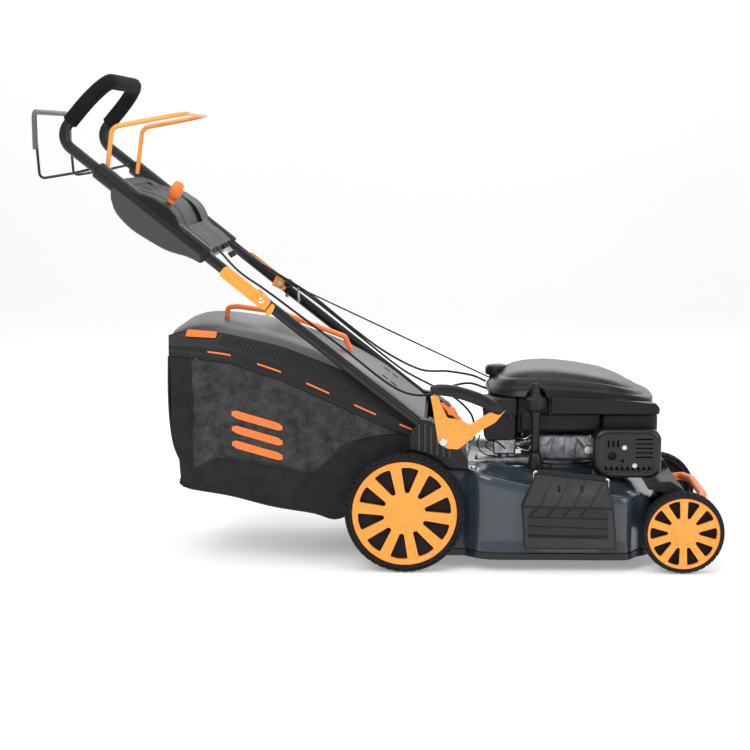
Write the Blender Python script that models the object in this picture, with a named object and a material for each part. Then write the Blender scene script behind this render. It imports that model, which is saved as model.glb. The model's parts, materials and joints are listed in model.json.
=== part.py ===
"""Petrol rotary lawn mower with a grass catcher, as separate named pieces.

Run with: blender --background --python part.py
Metres, +X to the front of the mower, +Y to its left, +Z up. Pieces are placed in a frame
whose X = 0 is the rear axle; the last step moves them so that the origin is the middle
of the machine's footprint.
"""
import math

import bmesh
import bpy
from mathutils import Matrix, Vector

# ---- driving dimensions -------------------------------------------------------------
GAP = 0.0004                    # clearance between pieces that rest on each other

REAR_WHEEL_R = 0.140
FRONT_WHEEL_R = 0.0955
WHEELBASE = 0.640
TYRE_W = 0.045
CATCHER_HALF = 0.199
TRACK_HALF = CATCHER_HALF + 0.018 + TYRE_W  # centre plane to the outer face of a wheel
REAR_DISC_R = 0.1229
FRONT_DISC_R = 0.0867
DISC_OPENINGS = 10
AXLE_R = 0.006
WHEEL_ROOM = 0.006              # between a wheel's inner face and what is beside it

DECK_HALF = 0.245
DECK_WALL = 0.0025
FLANGE = 0.006                  # how far the skirt's rolled lip stands out
DECK_LIP_Z = 0.030
DECK_REAR_X = -0.035
DECK_FRONT_X = WHEELBASE - 0.028
SHOULDER = [                    # X, Z of the edge between the skirt and the top
    (DECK_REAR_X, 0.243), (0.13, 0.239), (0.19, 0.227), (0.29, 0.204), (0.40, 0.190), (0.50, 0.180),
    (DECK_FRONT_X, 0.158)]
FLAP_HINGE_Y = -(DECK_HALF - 0.005)
FLAP_OUT_Y = -(DECK_HALF + 0.017)
FLAP_REAR = (0.305, 0.236)      # X, Z of the hinge's ends
FLAP_FRONT = (0.462, 0.219)

CRANK_X = 0.370
CRANK_R = 0.0125
ENGINE_BASE_Z = 0.2245
CRANKCASE_R = 0.088
CRANKCASE_H = 0.0755
CASE_REAR_X = CRANK_X - CRANKCASE_R
BLADE_R = 0.222
BLADE_Z = 0.060
BELT_Z = 0.170
GROOVE_R = 0.021                # pulley radius at the bottom of its groove

HOOD_REAR_X = 0.187
HOOD_FRONT_X = 0.590
HOOD_HALF = 0.172
HOOD_RIM_Z = 0.358
HOOD_EDGE_Z = 0.384             # where the hood's crown starts
HOOD_TOP_Z = 0.455
HOOD_WALL = 0.003
FUEL_CAP = (0.2205, 0.05, 0.4215)
OIL_CAP = (0.304, -0.181, 0.3735)
CAP_ROOM = 0.007                # between the oil cap and the hood

BAG_WALL = 0.006
RAIL_WALL = 0.012
LID_INSET = 0.008               # the lid's side behind the frame's side
LID_WALL = 0.004
RAIL_TOP = [                    # X, Z of the catcher frame's upper edge
    (-0.548, 0.545), (-0.521, 0.558), (-0.423, 0.552), (-0.282, 0.519), (-0.138, 0.462), (-0.054, 0.415),
    (0.052, 0.334)]
RAIL_LOW = [                    # X, Z of its lower edge
    (-0.548, 0.500), (-0.405, 0.481), (-0.284, 0.440), (-0.181, 0.393), (-0.068, 0.341), (0.052, 0.291)]

TUBE_R = 0.0125
TUBE_Y = CATCHER_HALF + 0.0031 + TUBE_R    # centre plane to a handle tube's centre
TUBE_FOOT = (0.075, 0.312)      # X, Z of the lower tube's end
FOLD_AT = (-0.326, 0.631)       # X, Z of the handle's fold bolts
NECK_AT = (-0.788, 1.003)       # corner of the swan neck
GRIP_AT = (-0.677, 1.130)       # centre of the cross bar
FOAM_R = TUBE_R + 0.006
LAP = TUBE_R * 2.24             # half lap of the tubes each side of the fold bolt
BOLT_R = 0.004
CLAMP_SET = 0.0155              # the clamp lever's pin below the fold bolt, along the tube
CLAMP_TAIL = 0.0045             # what is left of the lever beyond its pin
CLAMP_LONG = 0.1285

BRACKET_IN = TUBE_Y - TUBE_R - 0.0301
BRACKET_OUT = TUBE_Y + TUBE_R + 0.0015
DRIVE_PIVOT = (-0.706, 0.934)
DRIVE_Y = TUBE_Y - TUBE_R - 0.0301
DRIVE_WIRE_R = 0.0032
DRIVE_SLEEVE_R = 0.0065
BRAKE_PIVOT = (-0.683, 0.916)
BRAKE_Y = TUBE_Y - TUBE_R - 0.0141
BRAKE_R = 0.0055
CONSOLE_HALF = TUBE_Y + TUBE_R + 0.0069
CONSOLE_REAR = Vector((-0.668, 0.8985))    # ends of the line that parts base and cover
CONSOLE_FRONT = Vector((-0.452, 0.7300))
THROTTLE_PIVOT = (-0.575, 0.790)
THROTTLE_Y = -0.145
THROTTLE_T = 0.008

ROPE_GUIDE = (-0.286, 0.150, 0.631)
ROPE_HOOD = (0.181, 0.130, 0.412)
ROPE_WAY = (Vector(ROPE_HOOD) - Vector(ROPE_GUIDE)).normalized()
ROPE_R = 0.0022
CABLE_R = 0.0028

DOOR_HINGE = (0.135, 0.262)
DOOR_PIN_R = 0.004
DOOR_HALF = 0.15
LEVER_PIVOT = (0.090, 0.303)
LEVER_T = 0.004
LEVER_Y = -(BRACKET_OUT + 0.0026)          # middle of the height lever's plate

COLOURS = {                     # base colour, roughness, metallic
    "orange": ((0.90, 0.33, 0.06), 0.45, 0.0),
    "tyre": ((0.02, 0.02, 0.02), 0.85, 0.0),
    "black plastic": ((0.025, 0.025, 0.027), 0.55, 0.0),
    "grey plastic": ((0.055, 0.055, 0.06), 0.4, 0.0),
    "deck paint": ((0.045, 0.06, 0.075), 0.2, 0.1),
    "black paint": ((0.012, 0.012, 0.013), 0.35, 0.0),
    "steel": ((0.55, 0.55, 0.56), 0.35, 1.0),
    "aluminium": ((0.6, 0.61, 0.62), 0.45, 1.0),
    "foam": ((0.015, 0.015, 0.015), 0.95, 0.0),
    "bail grey": ((0.13, 0.13, 0.14), 0.5, 0.0),
    "fabric": ((0.03, 0.03, 0.03), 0.9, 0.0),
    "lid grey": ((0.35, 0.35, 0.37), 0.25, 0.0),
}


# ---- making objects -----------------------------------------------------------------
def material(key):
    known = bpy.data.materials.get(key)
    if known:
        return known
    colour, roughness, metallic = COLOURS[key]
    made = bpy.data.materials.new(key)
    made.use_nodes = True
    shader = made.node_tree.nodes["Principled BSDF"]
    shader.inputs["Base Color"].default_value = (*colour, 1.0)
    shader.inputs["Roughness"].default_value = roughness
    shader.inputs["Metallic"].default_value = metallic
    return made


def finish(name, bm, key, origin=(0, 0, 0), sharp=35):
    """Turns a bmesh into a named object whose origin is at `origin`."""
    bmesh.ops.recalc_face_normals(bm, faces=bm.faces)
    bmesh.ops.translate(bm, verts=bm.verts, vec=-Vector(origin))
    mesh = bpy.data.meshes.new(name)
    bm.to_mesh(mesh)
    bm.free()
    mesh.materials.append(material(key))
    mesh.shade_smooth()
    mesh.set_sharp_from_angle(angle=math.radians(sharp))
    obj = bpy.data.objects.new(name, mesh)
    obj.location = origin
    bpy.context.collection.objects.link(obj)
    return obj


def boolean(obj, other, operation):
    """Adds or removes a guide's volume; the guide itself isn't part of the model."""
    other.hide_render = True
    other.display_type = "WIRE"
    mod = obj.modifiers.new(operation.title() + " " + other.name, "BOOLEAN")
    mod.operation = operation
    mod.solver = "EXACT"
    mod.object = other
    return obj


def cut(obj, *others):
    for other in others:
        boolean(obj, other, "DIFFERENCE")
    return obj


def add(obj, *others):
    for other in others:
        boolean(obj, other, "UNION")
    return obj


def bevel(obj, width, segments=2, angle=40):
    mod = obj.modifiers.new("Bevel", "BEVEL")
    mod.width = width
    mod.segments = segments
    mod.limit_method = "ANGLE"
    mod.angle_limit = math.radians(angle)
    return obj


# ---- shapes -------------------------------------------------------------------------
def skin(rings, closed=False):
    """A bmesh skinned over rings of equal length; an open skin gets end caps."""
    bm = bmesh.new()
    rows = [[bm.verts.new(p) for p in ring] for ring in rings]
    count = len(rows[0])
    pairs = list(zip(rows, rows[1:]))
    if closed:
        pairs.append((rows[-1], rows[0]))
    for one, two in pairs:
        for i in range(count):
            j = (i + 1) % count
            bm.faces.new((one[i], one[j], two[j], two[i]))
    if not closed:
        bm.faces.new(rows[0])
        bm.faces.new(rows[-1])
    return bm


def turned(profile, axis, centre, segments=24):
    """Spins a closed profile of (radius, along) about an axis; radius 0 is a pole."""
    x, y, z = centre
    bm = bmesh.new()
    rows = []
    for radius, along in profile:
        row = []
        for i in range(1 if radius == 0 else segments):
            a = 2 * math.pi * i / segments
            c, s = radius * math.cos(a), radius * math.sin(a)
            spot = {"X": (along, c, s), "Y": (s, along, c), "Z": (c, s, along)}[axis]
            row.append(bm.verts.new((x + spot[0], y + spot[1], z + spot[2])))
        rows.append(row)
    for one, two in zip(rows, rows[1:] + rows[:1]):
        if len(one) == 1 and len(two) == 1:
            continue
        for i in range(segments):
            j = (i + 1) % segments
            face = [one[i % len(one)], one[j % len(one)], two[j % len(two)], two[i % len(two)]]
            face = list(dict.fromkeys(face))
            bm.faces.new(face)
    return bm


def rod_profile(radius, low, high):
    return [(0, low), (radius, low), (radius, high), (0, high)]


def rounded(points, radii, steps=4):
    """A polyline whose inner corners are arcs of the given radii."""
    points = [Vector(p) for p in points]
    path = [points[0]]
    for k in range(1, len(points) - 1):
        before, corner, after = points[k - 1], points[k], points[k + 1]
        one, two = (before - corner).normalized(), (after - corner).normalized()
        half = one.angle(two) / 2
        radius = radii if isinstance(radii, float) else radii[k - 1]
        reach = radius / math.tan(half)
        middle = corner + (one + two).normalized() * (radius / math.sin(half))
        start, end = corner + one * reach - middle, corner + two * reach - middle
        turn = start.rotation_difference(end)
        for i in range(steps + 1):
            step = turn.copy()
            step.angle = turn.angle * i / steps
            path.append(middle + step @ start)
    path.append(points[-1])
    return path


def smooth_route(points, step):
    """Points about `step` apart on a Catmull-Rom curve through `points`."""
    points = [Vector(p) for p in points]
    ends = [2 * points[0] - points[1], *points, 2 * points[-1] - points[-2]]
    route = []
    for a, b, c, d in zip(ends, ends[1:], ends[2:], ends[3:]):
        count = max(1, round((c - b).length / step))
        for i in range(count):
            t = i / count
            route.append(0.5 * (2 * b + (c - a) * t + (2 * a - 5 * b + 4 * c - d) * t * t
                                + (3 * b - a - 3 * c + d) * t ** 3))
    route.append(points[-1])
    return route


def swept_rings(path, sections):
    """Rings of (across, up) sections carried along a path without twist."""
    rings = []
    across = None
    for k, point in enumerate(path):
        steps = [b - a for a, b in zip(path[max(k - 1, 0):k + 1], path[max(k - 1, 0) + 1:k + 2])]
        ahead = sum((s.normalized() for s in steps), Vector()).normalized()
        if across is None:
            guide = Vector((0, 1, 0)) if abs(ahead.y) < 0.9 else Vector((0, 0, 1))
            across = guide
        across = (across - ahead * across.dot(ahead)).normalized()
        up = ahead.cross(across)
        rings.append([point + across * u + up * v for u, v in sections[k]])
    return rings


def circle(radius, sides=8, wide=1.0):
    return [(wide * radius * math.cos(2 * math.pi * i / sides),
             radius * math.sin(2 * math.pi * i / sides)) for i in range(sides)]


def swept(path, radius, sides=8):
    """A rod along a path; `radius` is one number or one for each point."""
    radii = radius if isinstance(radius, list) else [radius] * len(path)
    return skin(swept_rings(path, [circle(r, sides) for r in radii]))


def prism(outline, y0, y1):
    """An X, Z outline extruded from y0 to y1."""
    return skin([[(x, y, z) for x, z in outline] for y in (y0, y1)])


def block(x0, x1, y0, y1, z0, z1):
    return prism([(x0, z0), (x1, z0), (x1, z1), (x0, z1)], y0, y1)


def at_x(points, x):
    """Z read from a line of X, Z points that rise in X."""
    if x <= points[0][0]:
        return points[0][1]
    for (xa, za), (xb, zb) in zip(points, points[1:]):
        if x <= xb:
            return za + (zb - za) * (x - xa) / (xb - xa)
    return points[-1][1]


def cable(name, points, radius, key="black plastic"):
    """A flexible cable as a curve object along its own smooth route."""
    curve = bpy.data.curves.new(name, "CURVE")
    curve.dimensions = "3D"
    curve.bevel_depth = radius
    curve.bevel_resolution = 2
    curve.use_fill_caps = True
    route = smooth_route(points, 0.022)
    spline = curve.splines.new("POLY")
    spline.points.add(len(route) - 1)
    for target, point in zip(spline.points, route):
        target.co = (*point, 1.0)
    curve.materials.append(material(key))
    obj = bpy.data.objects.new(name, curve)
    bpy.context.collection.objects.link(obj)
    return obj


# ---- wheels and axles ---------------------------------------------------------------
def wheel(end, side, x, radius, disc_r):
    """A moulded wheel with its tyre, and the orange spoked disc on its outer face."""
    sign = 1 if side == "L" else -1
    centre = (x, sign * TRACK_HALF, radius)
    hub_r, bore = 0.018, AXLE_R + GAP
    sides = 30
    seat = (disc_r + 0.0005) / math.cos(math.pi / sides)
    web = 0.020                                  # how deep the wheel's web lies
    profile = [(bore, -TYRE_W), (hub_r, -TYRE_W), (hub_r, -web - 0.006), (seat - 0.01, -web - 0.006),
               (seat - 0.01, -TYRE_W + 0.004), (radius - 0.010, -TYRE_W), (radius, -TYRE_W + 0.009),
               (radius, -0.009), (radius - 0.010, 0.0), (seat, -0.002), (seat, -web), (bore, -web)]
    profile = [(r, a * sign) for r, a in profile]
    finish(f"{end}_tyre_{side}", turned(profile, "Y", centre, sides), "tyre", centre)

    outer, inner = disc_r * 0.885, disc_r * 0.41
    back, front = -0.0125, -0.0045
    pitch = 2 * math.pi / DISC_OPENINGS
    bm = bmesh.new()
    layers = []
    for depth in (back, front):
        rows = {"hub": [], "tip": [], "mouth": [], "rim": []}
        for k in range(DISC_OPENINGS):
            a = pitch * (k + 0.5)
            for turn in (-0.30, 0.30):
                rows["mouth"].append((outer, a + turn * pitch))
            for turn in (-0.14, 0.14):
                rows["tip"].append((inner, a + turn * pitch))
            for turn in (-0.25, 0.25):
                rows["hub"].append((bore, a + turn * pitch))
                rows["rim"].append((disc_r, a + turn * pitch))
        layer = {}
        for row, places in rows.items():
            dome = 0.004 if (row == "hub" and depth == front) else 0.0
            layer[row] = [bm.verts.new((x + r * math.sin(a), centre[1] + sign * (depth + dome),
                                        radius + r * math.cos(a))) for r, a in places]
        layers.append(layer)
    count = 2 * DISC_OPENINGS
    for layer in layers:
        for i in range(count):
            j = (i + 1) % count
            bm.faces.new((layer["hub"][i], layer["hub"][j], layer["tip"][j], layer["tip"][i]))
            bm.faces.new((layer["mouth"][i], layer["mouth"][j], layer["rim"][j], layer["rim"][i]))
            if i % 2:
                bm.faces.new((layer["tip"][i], layer["tip"][j], layer["mouth"][j], layer["mouth"][i]))
    one, two = layers
    for i in range(count):
        j = (i + 1) % count
        for row in ("hub", "rim"):
            bm.faces.new((one[row][i], one[row][j], two[row][j], two[row][i]))
        if i % 2:
            for a, b in ((one["tip"], one["mouth"]),):
                bm.faces.new((a[i], b[i], two["mouth"][i], two["tip"][i]))
                bm.faces.new((a[j], b[j], two["mouth"][j], two["tip"][j]))
        else:
            bm.faces.new((one["tip"][i], one["tip"][j], two["tip"][j], two["tip"][i]))
            bm.faces.new((one["mouth"][i], one["mouth"][j], two["mouth"][j], two["mouth"][i]))
    finish(f"{end}_disc_{side}", bm, "orange", centre)


def axle(name, x, z):
    end = TRACK_HALF - 0.013
    finish(name, turned(rod_profile(AXLE_R, -end, end), "Y", (x, 0, z), 12), "steel", (x, 0, z))


def axle_bore(name, x, z, half):
    return finish(name, turned(rod_profile(AXLE_R + GAP, -half, half), "Y", (x, 0, z), 12), "steel")


# ---- deck ---------------------------------------------------------------------------
def deck_plan(inset):
    """Half of the deck's outline in plan, rear to front, as X, Y points."""
    beside = TRACK_HALF - TYRE_W - WHEEL_ROOM - FLANGE
    rear, front = DECK_REAR_X + inset, DECK_FRONT_X - inset
    first = WHEELBASE - FRONT_WHEEL_R - 0.004
    return [(rear, 0.0), (rear, 0.12), (rear, beside - inset - 0.02), (rear + 0.02, beside - inset),
            (0.145 - inset, beside - inset), (0.172 - inset, DECK_HALF - inset - 0.012),
            (0.205, DECK_HALF - inset), (0.30, DECK_HALF - inset), (0.40, DECK_HALF - inset),
            (0.50, DECK_HALF - inset), (first - 0.018 + inset, DECK_HALF - inset - 0.014),
            (first + inset * 0.3, beside - inset), (front - 0.035, 0.165 - inset),
            (front - 0.008, 0.10 - inset), (front, 0.0)]


def deck_ring(inset, height, engine_flat):
    half = deck_plan(inset)
    plan = half + [(x, -y) for x, y in reversed(half[1:-1])]
    ring = []
    for x, y in plan:
        z = height if height is not None else at_x(SHOULDER, x)
        ring.append(Vector((x, y, z + engine_flat)))
    return ring


def deck_shell():
    """A pressed steel shell: flange, skirt, shoulder, top and the engine's round flat."""
    rings = []
    for wall, lift in ((0.0, 0.0), (DECK_WALL, -DECK_WALL)):
        side = [deck_ring(wall - FLANGE, DECK_LIP_Z, 0.0),
                deck_ring(wall - FLANGE, DECK_LIP_Z + 0.006, 0.0),
                deck_ring(wall, DECK_LIP_Z + 0.012, 0.0), deck_ring(wall, None, -0.014 + lift),
                deck_ring(wall + 0.014, None, lift)]
        for radius, z in ((CRANKCASE_R + 0.014, ENGINE_BASE_Z - 0.011),
                          (CRANKCASE_R + 0.008, ENGINE_BASE_Z - GAP),
                          (CRANK_R + 0.0175, ENGINE_BASE_Z - GAP)):
            ring = []
            for point in side[-1]:
                a = math.atan2(point.y, point.x - CRANK_X)
                ring.append(Vector((CRANK_X + radius * math.cos(a), radius * math.sin(a), z + lift)))
            side.append(ring)
        if wall:
            side = side[1:]
            side[0] = [Vector((p.x, p.y, DECK_LIP_Z)) for p in deck_ring(wall, DECK_LIP_Z, 0.0)]
        rings.append(side)
    outer, inner = rings
    deck = finish("deck_shell", skin(outer + inner[::-1], closed=True), "deck paint", sharp=30)
    side_mouth = finish("side_mouth", block(0.300, 0.455, -DECK_HALF - 0.055, -DECK_HALF + 0.045, 0.062,
                                            0.150),
                        "deck paint")
    rear_mouth = finish("rear_mouth", block(-0.08, 0.0, -0.13, 0.13, 0.163, 0.222), "deck paint")
    cut(deck, side_mouth, rear_mouth, axle_bore("rear_axle_bore", 0, REAR_WHEEL_R, 0.3))
    return deck


def discharge_flap():
    """The ribbed cover of the side outlet; it swings up about the wire at its top edge."""
    hinge_y, out = FLAP_HINGE_Y, FLAP_OUT_Y
    front, rear = FLAP_FRONT, FLAP_REAR
    thick = 0.0035
    rows = [((rear[0], front[0]), (rear[1], front[1]), hinge_y), ((0.272, 0.478), (0.160, 0.158), out),
            ((0.278, 0.486), (0.060, 0.060), out)]
    rings = []
    for depth in (0.0, thick):
        for xs, zs, y in rows[::-1] if depth else rows:
            rings.append([(xs[0], y + depth, zs[0]), (xs[1], y + depth, zs[1])])
    bm = bmesh.new()
    grid = [[bm.verts.new(p) for p in ring] for ring in rings]
    for one, two in zip(grid, grid[1:] + grid[:1]):
        bm.faces.new((one[0], one[1], two[1], two[0]))
    for side in (0, 1):
        bm.faces.new([row[side] for row in (grid[0], grid[1], grid[4], grid[5])])
        bm.faces.new([row[side] for row in (grid[1], grid[2], grid[3], grid[4])])
    origin = (rear[0], hinge_y, rear[1])
    flap = finish("discharge_flap", bm, "black plastic", origin)
    along = [Vector((rear[0], hinge_y, rear[1])), Vector((front[0], hinge_y, front[1]))]
    barrel = finish("flap_barrel", swept(along, 0.0062, 10), "black plastic")
    ribs = []
    for k in range(4):
        x = 0.300 + 0.040 * k
        foot = Vector((x, out, 0.152))
        head = Vector((x + 0.016, hinge_y, at_x([rear, front], x + 0.016)))
        path = [foot, foot.lerp(head, 0.80)]
        ribs.append(finish(f"flap_rib_{k}", swept(path, 0.0026, 4), "black plastic"))
    add(flap, barrel, *ribs)
    reach = (along[1] - along[0]).normalized() * 0.02
    hole = finish("flap_bore", swept([along[0] - reach, along[1] + reach], 0.0031 + GAP, 10), "steel")
    cut(flap, hole)

    foot_y = hinge_y + 0.016
    sink = 0.001
    wire = [(rear[0] - 0.007, foot_y, at_x(SHOULDER, rear[0]) - sink),
            (rear[0] - 0.007, hinge_y, rear[1] + 0.0008), (front[0] + 0.007, hinge_y, front[1] - 0.0008),
            (front[0] + 0.007, foot_y, at_x(SHOULDER, front[0]) - sink)]
    return finish("flap_hinge_wire", swept(rounded(wire, 0.0045, 3), 0.0031, 8), "steel")


def rear_door():
    """The spring door over the rear outlet, leaning back on the catcher."""
    hinge = Vector(DOOR_HINGE)
    tip = Vector((0.066, 0.344))
    along = (tip - hinge).normalized()
    square = Vector((along.y, -along.x))
    thick = 0.006
    outline = [hinge + along * 0.006, tip, tip + square * thick, hinge + along * 0.006 + square * thick]
    door = finish("rear_door", prism(outline, -DOOR_HALF, DOOR_HALF), "black plastic",
                  (hinge.x, 0, hinge.y))
    barrel = finish("door_barrel", turned(rod_profile(DOOR_PIN_R + 0.005, -DOOR_HALF, DOOR_HALF), "Y",
                                          (hinge.x, 0, hinge.y), 12), "black plastic")
    add(door, barrel)
    ribs = []
    for k in range(5):
        y = -0.12 + 0.06 * k
        lines = [hinge + square * (thick - 0.001) + along * 0.01,
                 tip + square * (thick - 0.001) - along * 0.012,
                 tip + square * (thick + 0.005) - along * 0.03,
                 hinge + square * (thick + 0.005) + along * 0.02]
        ribs.append(finish(f"door_rib_{k}", prism(lines, y - 0.002, y + 0.002), "black plastic"))
    add(door, *ribs)
    reach = BRACKET_IN + 0.010
    pins = finish("door_pins", turned(rod_profile(DOOR_PIN_R, -reach, reach), "Y", (hinge.x, 0, hinge.y),
                                      12),
                  "steel")
    add(door, pins)


def front_end():
    """The housing over the front axle and the lifting bar in front of it."""
    half = TRACK_HALF - TYRE_W - WHEEL_ROOM
    face = DECK_FRONT_X + 0.0035
    ahead = [(-0.082, 0.190), (-0.055, 0.206), (-0.025, 0.208), (0.008, 0.186), (0.024, 0.150),
             (0.026, 0.074),
             (-0.018, 0.074)]
    outline = [(WHEELBASE + x, z) for x, z in ahead]
    outline += [(face, 0.100), (face, 0.172), (WHEELBASE - 0.042, 0.181)]
    cover = finish("front_axle_housing", prism(outline, -half, half), "black plastic")
    middle = finish("housing_dip", block(WHEELBASE - 0.14, WHEELBASE + 0.015, -0.13, 0.13, 0.172, 0.24),
                    "black plastic")
    cut(cover, middle, axle_bore("front_axle_bore", WHEELBASE, FRONT_WHEEL_R, 0.3))
    root, knee, front = WHEELBASE + 0.0255, WHEELBASE + 0.052, WHEELBASE + 0.068
    bar = [(root, -0.155, 0.142), (knee, -0.155, 0.146), (front, -0.09, 0.150), (front, 0.09, 0.150),
           (knee, 0.155, 0.146), (root, 0.155, 0.142)]
    path = rounded(bar, [0.014, 0.05, 0.05, 0.014], 3)
    finish("front_lift_bar", skin(swept_rings(path, [circle(0.010, 8)] * len(path))), "orange")


# ---- engine -------------------------------------------------------------------------
def crank_group():
    """Crankshaft with its belt pulley, flywheel, blade holder, blade and blade bolt."""
    at = (CRANK_X, 0, 0)
    low, high = BLADE_Z + 0.0080, 0.352
    belt_half, rim = 0.005, GROOVE_R + 0.007
    shaft = [(0, low), (CRANK_R, low), (CRANK_R, BELT_Z - 0.010), (rim, BELT_Z - 0.009),
             (GROOVE_R, BELT_Z - belt_half), (GROOVE_R, BELT_Z + belt_half), (rim, BELT_Z + 0.009),
             (CRANK_R, BELT_Z + 0.010), (CRANK_R, high), (0, high)]
    finish("crankshaft", turned(shaft, "Z", at, 16), "steel", at)
    wheel_profile = [(CRANK_R + GAP, 0.318), (0.078, 0.318), (0.078, 0.340), (0.060, 0.340),
                     (0.055, 0.330), (CRANK_R + 0.012, 0.330), (CRANK_R + 0.012, 0.345),
                     (CRANK_R + GAP, 0.345)]
    finish("flywheel", turned(wheel_profile, "Z", at, 28), "aluminium", at)
    bolt_r = 0.006
    holder = [(0, BLADE_Z - 0.010), (0.013, BLADE_Z - 0.010), (0.013, BLADE_Z - GAP),
              (bolt_r, BLADE_Z - GAP),
              (bolt_r, BLADE_Z + 0.0034), (0.030, BLADE_Z + 0.0034), (0.030, BLADE_Z + 0.0076),
              (0, BLADE_Z + 0.0076)]
    finish("blade_holder", turned(holder, "Z", at, 16), "steel", at)
    half_w, thick = 0.026, 0.003
    rings = []
    for x, lift in ((-BLADE_R, 0.014), (-0.170, 0.012), (-0.140, 0.0), (0.140, 0.0), (0.170, 0.012),
                    (BLADE_R, 0.014)):
        tail = half_w if x < 0 else -half_w
        rings.append([(CRANK_X + x, -tail, BLADE_Z), (CRANK_X + x, tail, BLADE_Z + lift),
                      (CRANK_X + x, tail, BLADE_Z + lift + thick), (CRANK_X + x, -tail, BLADE_Z + thick)])
    ordered = [ring if k < 3 else [ring[1], ring[0], ring[3], ring[2]] for k, ring in enumerate(rings)]
    blade = finish("blade", skin(ordered), "steel", at)
    cut(blade, finish("blade_bore", turned(rod_profile(bolt_r + GAP, BLADE_Z - 0.02, BLADE_Z + 0.02),
                                           "Z", at, 16),
                      "steel"))


def drive_train():
    """Gearbox on the rear axle with its pulley, and the belt from the crankshaft."""
    pulley_x, half = 0.034, 0.004
    box = finish("gearbox", block(-0.027, 0.060, -0.035, 0.035, 0.112, 0.154), "aluminium")
    bevel(box, 0.006, 1)
    rim = GROOVE_R + 0.007
    profile = [(0, 0.150), (0.008, 0.150), (0.008, BELT_Z - 0.008), (rim, BELT_Z - 0.007),
               (GROOVE_R, BELT_Z - half), (GROOVE_R, BELT_Z + half), (rim, BELT_Z + 0.007),
               (0, BELT_Z + 0.007)]
    hub = finish("gearbox_pulley", turned(profile, "Z", (pulley_x, 0, 0), 16), "steel")
    add(box, hub)
    cut(box, axle_bore("gearbox_bore", 0, REAR_WHEEL_R, 0.1))

    def loop(radius):
        back = [(pulley_x - radius * math.sin(a), radius * math.cos(a)) for a in
                [math.pi * i / 8 for i in range(9)]]
        ahead = [(CRANK_X + radius * math.sin(a), -radius * math.cos(a)) for a in
                 [math.pi * i / 8 for i in range(9)]]
        return back + ahead
    inner, outer = loop(GROOVE_R + 2 * GAP), loop(GROOVE_R + 0.0068)
    rings = [[(x, y, z) for x, y in edge] for edge, z in
             ((inner, BELT_Z - half + 0.001), (outer, BELT_Z - half), (outer, BELT_Z + half),
              (inner, BELT_Z + half - 0.001))]
    finish("drive_belt", skin(rings, closed=True), "tyre")


def engine_block():
    """Crankcase, finned cylinder with its head, and the spark plug."""
    at = (CRANK_X, 0, 0)
    top = ENGINE_BASE_Z + CRANKCASE_H
    bore = CRANK_R + 0.001
    boss, wall = bore + 0.012, 0.006
    case = [(bore, ENGINE_BASE_Z), (boss, ENGINE_BASE_Z), (boss, top - 0.010),
            (CRANKCASE_R - wall, top - 0.010),
            (CRANKCASE_R - wall, ENGINE_BASE_Z), (CRANKCASE_R + 0.006, ENGINE_BASE_Z),
            (CRANKCASE_R + 0.006, ENGINE_BASE_Z + 0.008),
            (CRANKCASE_R, ENGINE_BASE_Z + 0.010), (CRANKCASE_R, top - 0.006), (CRANKCASE_R - 0.004, top),
            (bore, top)]
    finish("crankcase", turned(case, "Z", at, 32), "aluminium", at)
    start = CRANK_X + CRANKCASE_R + 0.0065
    low, high, fin = ENGINE_BASE_Z + 0.008, top - 0.003, 0.009
    upper, lower = [], []
    fins, pitch = 6, 0.014
    for k in range(fins):
        x = start + pitch * k
        upper += [(x, high), (x + pitch / 2, high), (x + pitch / 2, high - fin), (x + pitch, high - fin)]
        lower += [(x, low), (x + pitch / 2, low), (x + pitch / 2, low + fin), (x + pitch, low + fin)]
    end = start + pitch * fins
    outline = upper + [(end, high - 0.002), (end + 0.020, high - 0.006), (end + 0.020, low + 0.006),
                       (end, low + 0.002)]
    finish("cylinder", prism(outline + lower[::-1], -0.050, 0.050), "aluminium")
    plug_x = end + 0.020 + GAP
    middle = (low + high) / 2
    plug = [(0, 0), (0.008, 0), (0.008, 0.010), (0.005, 0.013), (0.0045, 0.026), (0, 0.026)]
    finish("spark_plug", turned(plug, "X", (plug_x, 0.012, middle), 8), "aluminium")
    wall = 0.004
    cup_top = 0.418
    cup = [(CRANKCASE_R - wall, top + GAP), (CRANKCASE_R, top + GAP), (CRANKCASE_R, cup_top - 0.008),
           (CRANKCASE_R - 0.012, cup_top), (0, cup_top), (0, 0.380), (0.050, 0.380),
           (0.060, cup_top - wall - 0.004),
           (CRANKCASE_R - wall, cup_top - wall - 0.008)]
    finish("recoil_starter_housing", turned(cup, "Z", at, 28), "black plastic")


def hood_height(x):
    """Height of the hood's crown along the centre line."""
    crown = [(HOOD_REAR_X, 0.408), (0.22, 0.425), (0.26, 0.446), (0.30, 0.4535), (0.343, HOOD_TOP_Z),
             (0.40, 0.450), (0.449, 0.440), (0.50, 0.427), (0.538, 0.413), (0.566, 0.399),
             (HOOD_FRONT_X, 0.386)]
    return at_x(crown, x)


def hood_ring(share, wall, z=None):
    middle = (HOOD_REAR_X + HOOD_FRONT_X) / 2
    long_half = (HOOD_FRONT_X - HOOD_REAR_X) / 2 - wall
    wide_half = HOOD_HALF - wall
    ring = []
    for i in range(32):
        a = 2 * math.pi * i / 32
        c, s = math.cos(a), math.sin(a)
        power = 2 / 3.4
        x = middle + share * long_half * math.copysign(abs(c) ** power, c)
        y = share * wide_half * math.copysign(abs(s) ** power, s)
        if z is None:
            level = HOOD_EDGE_Z + (hood_height(x) - HOOD_EDGE_Z) * (1 - share ** 3.0) ** 0.72 - wall
        else:
            level = z
        ring.append((x, y, level))
    return ring


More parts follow.
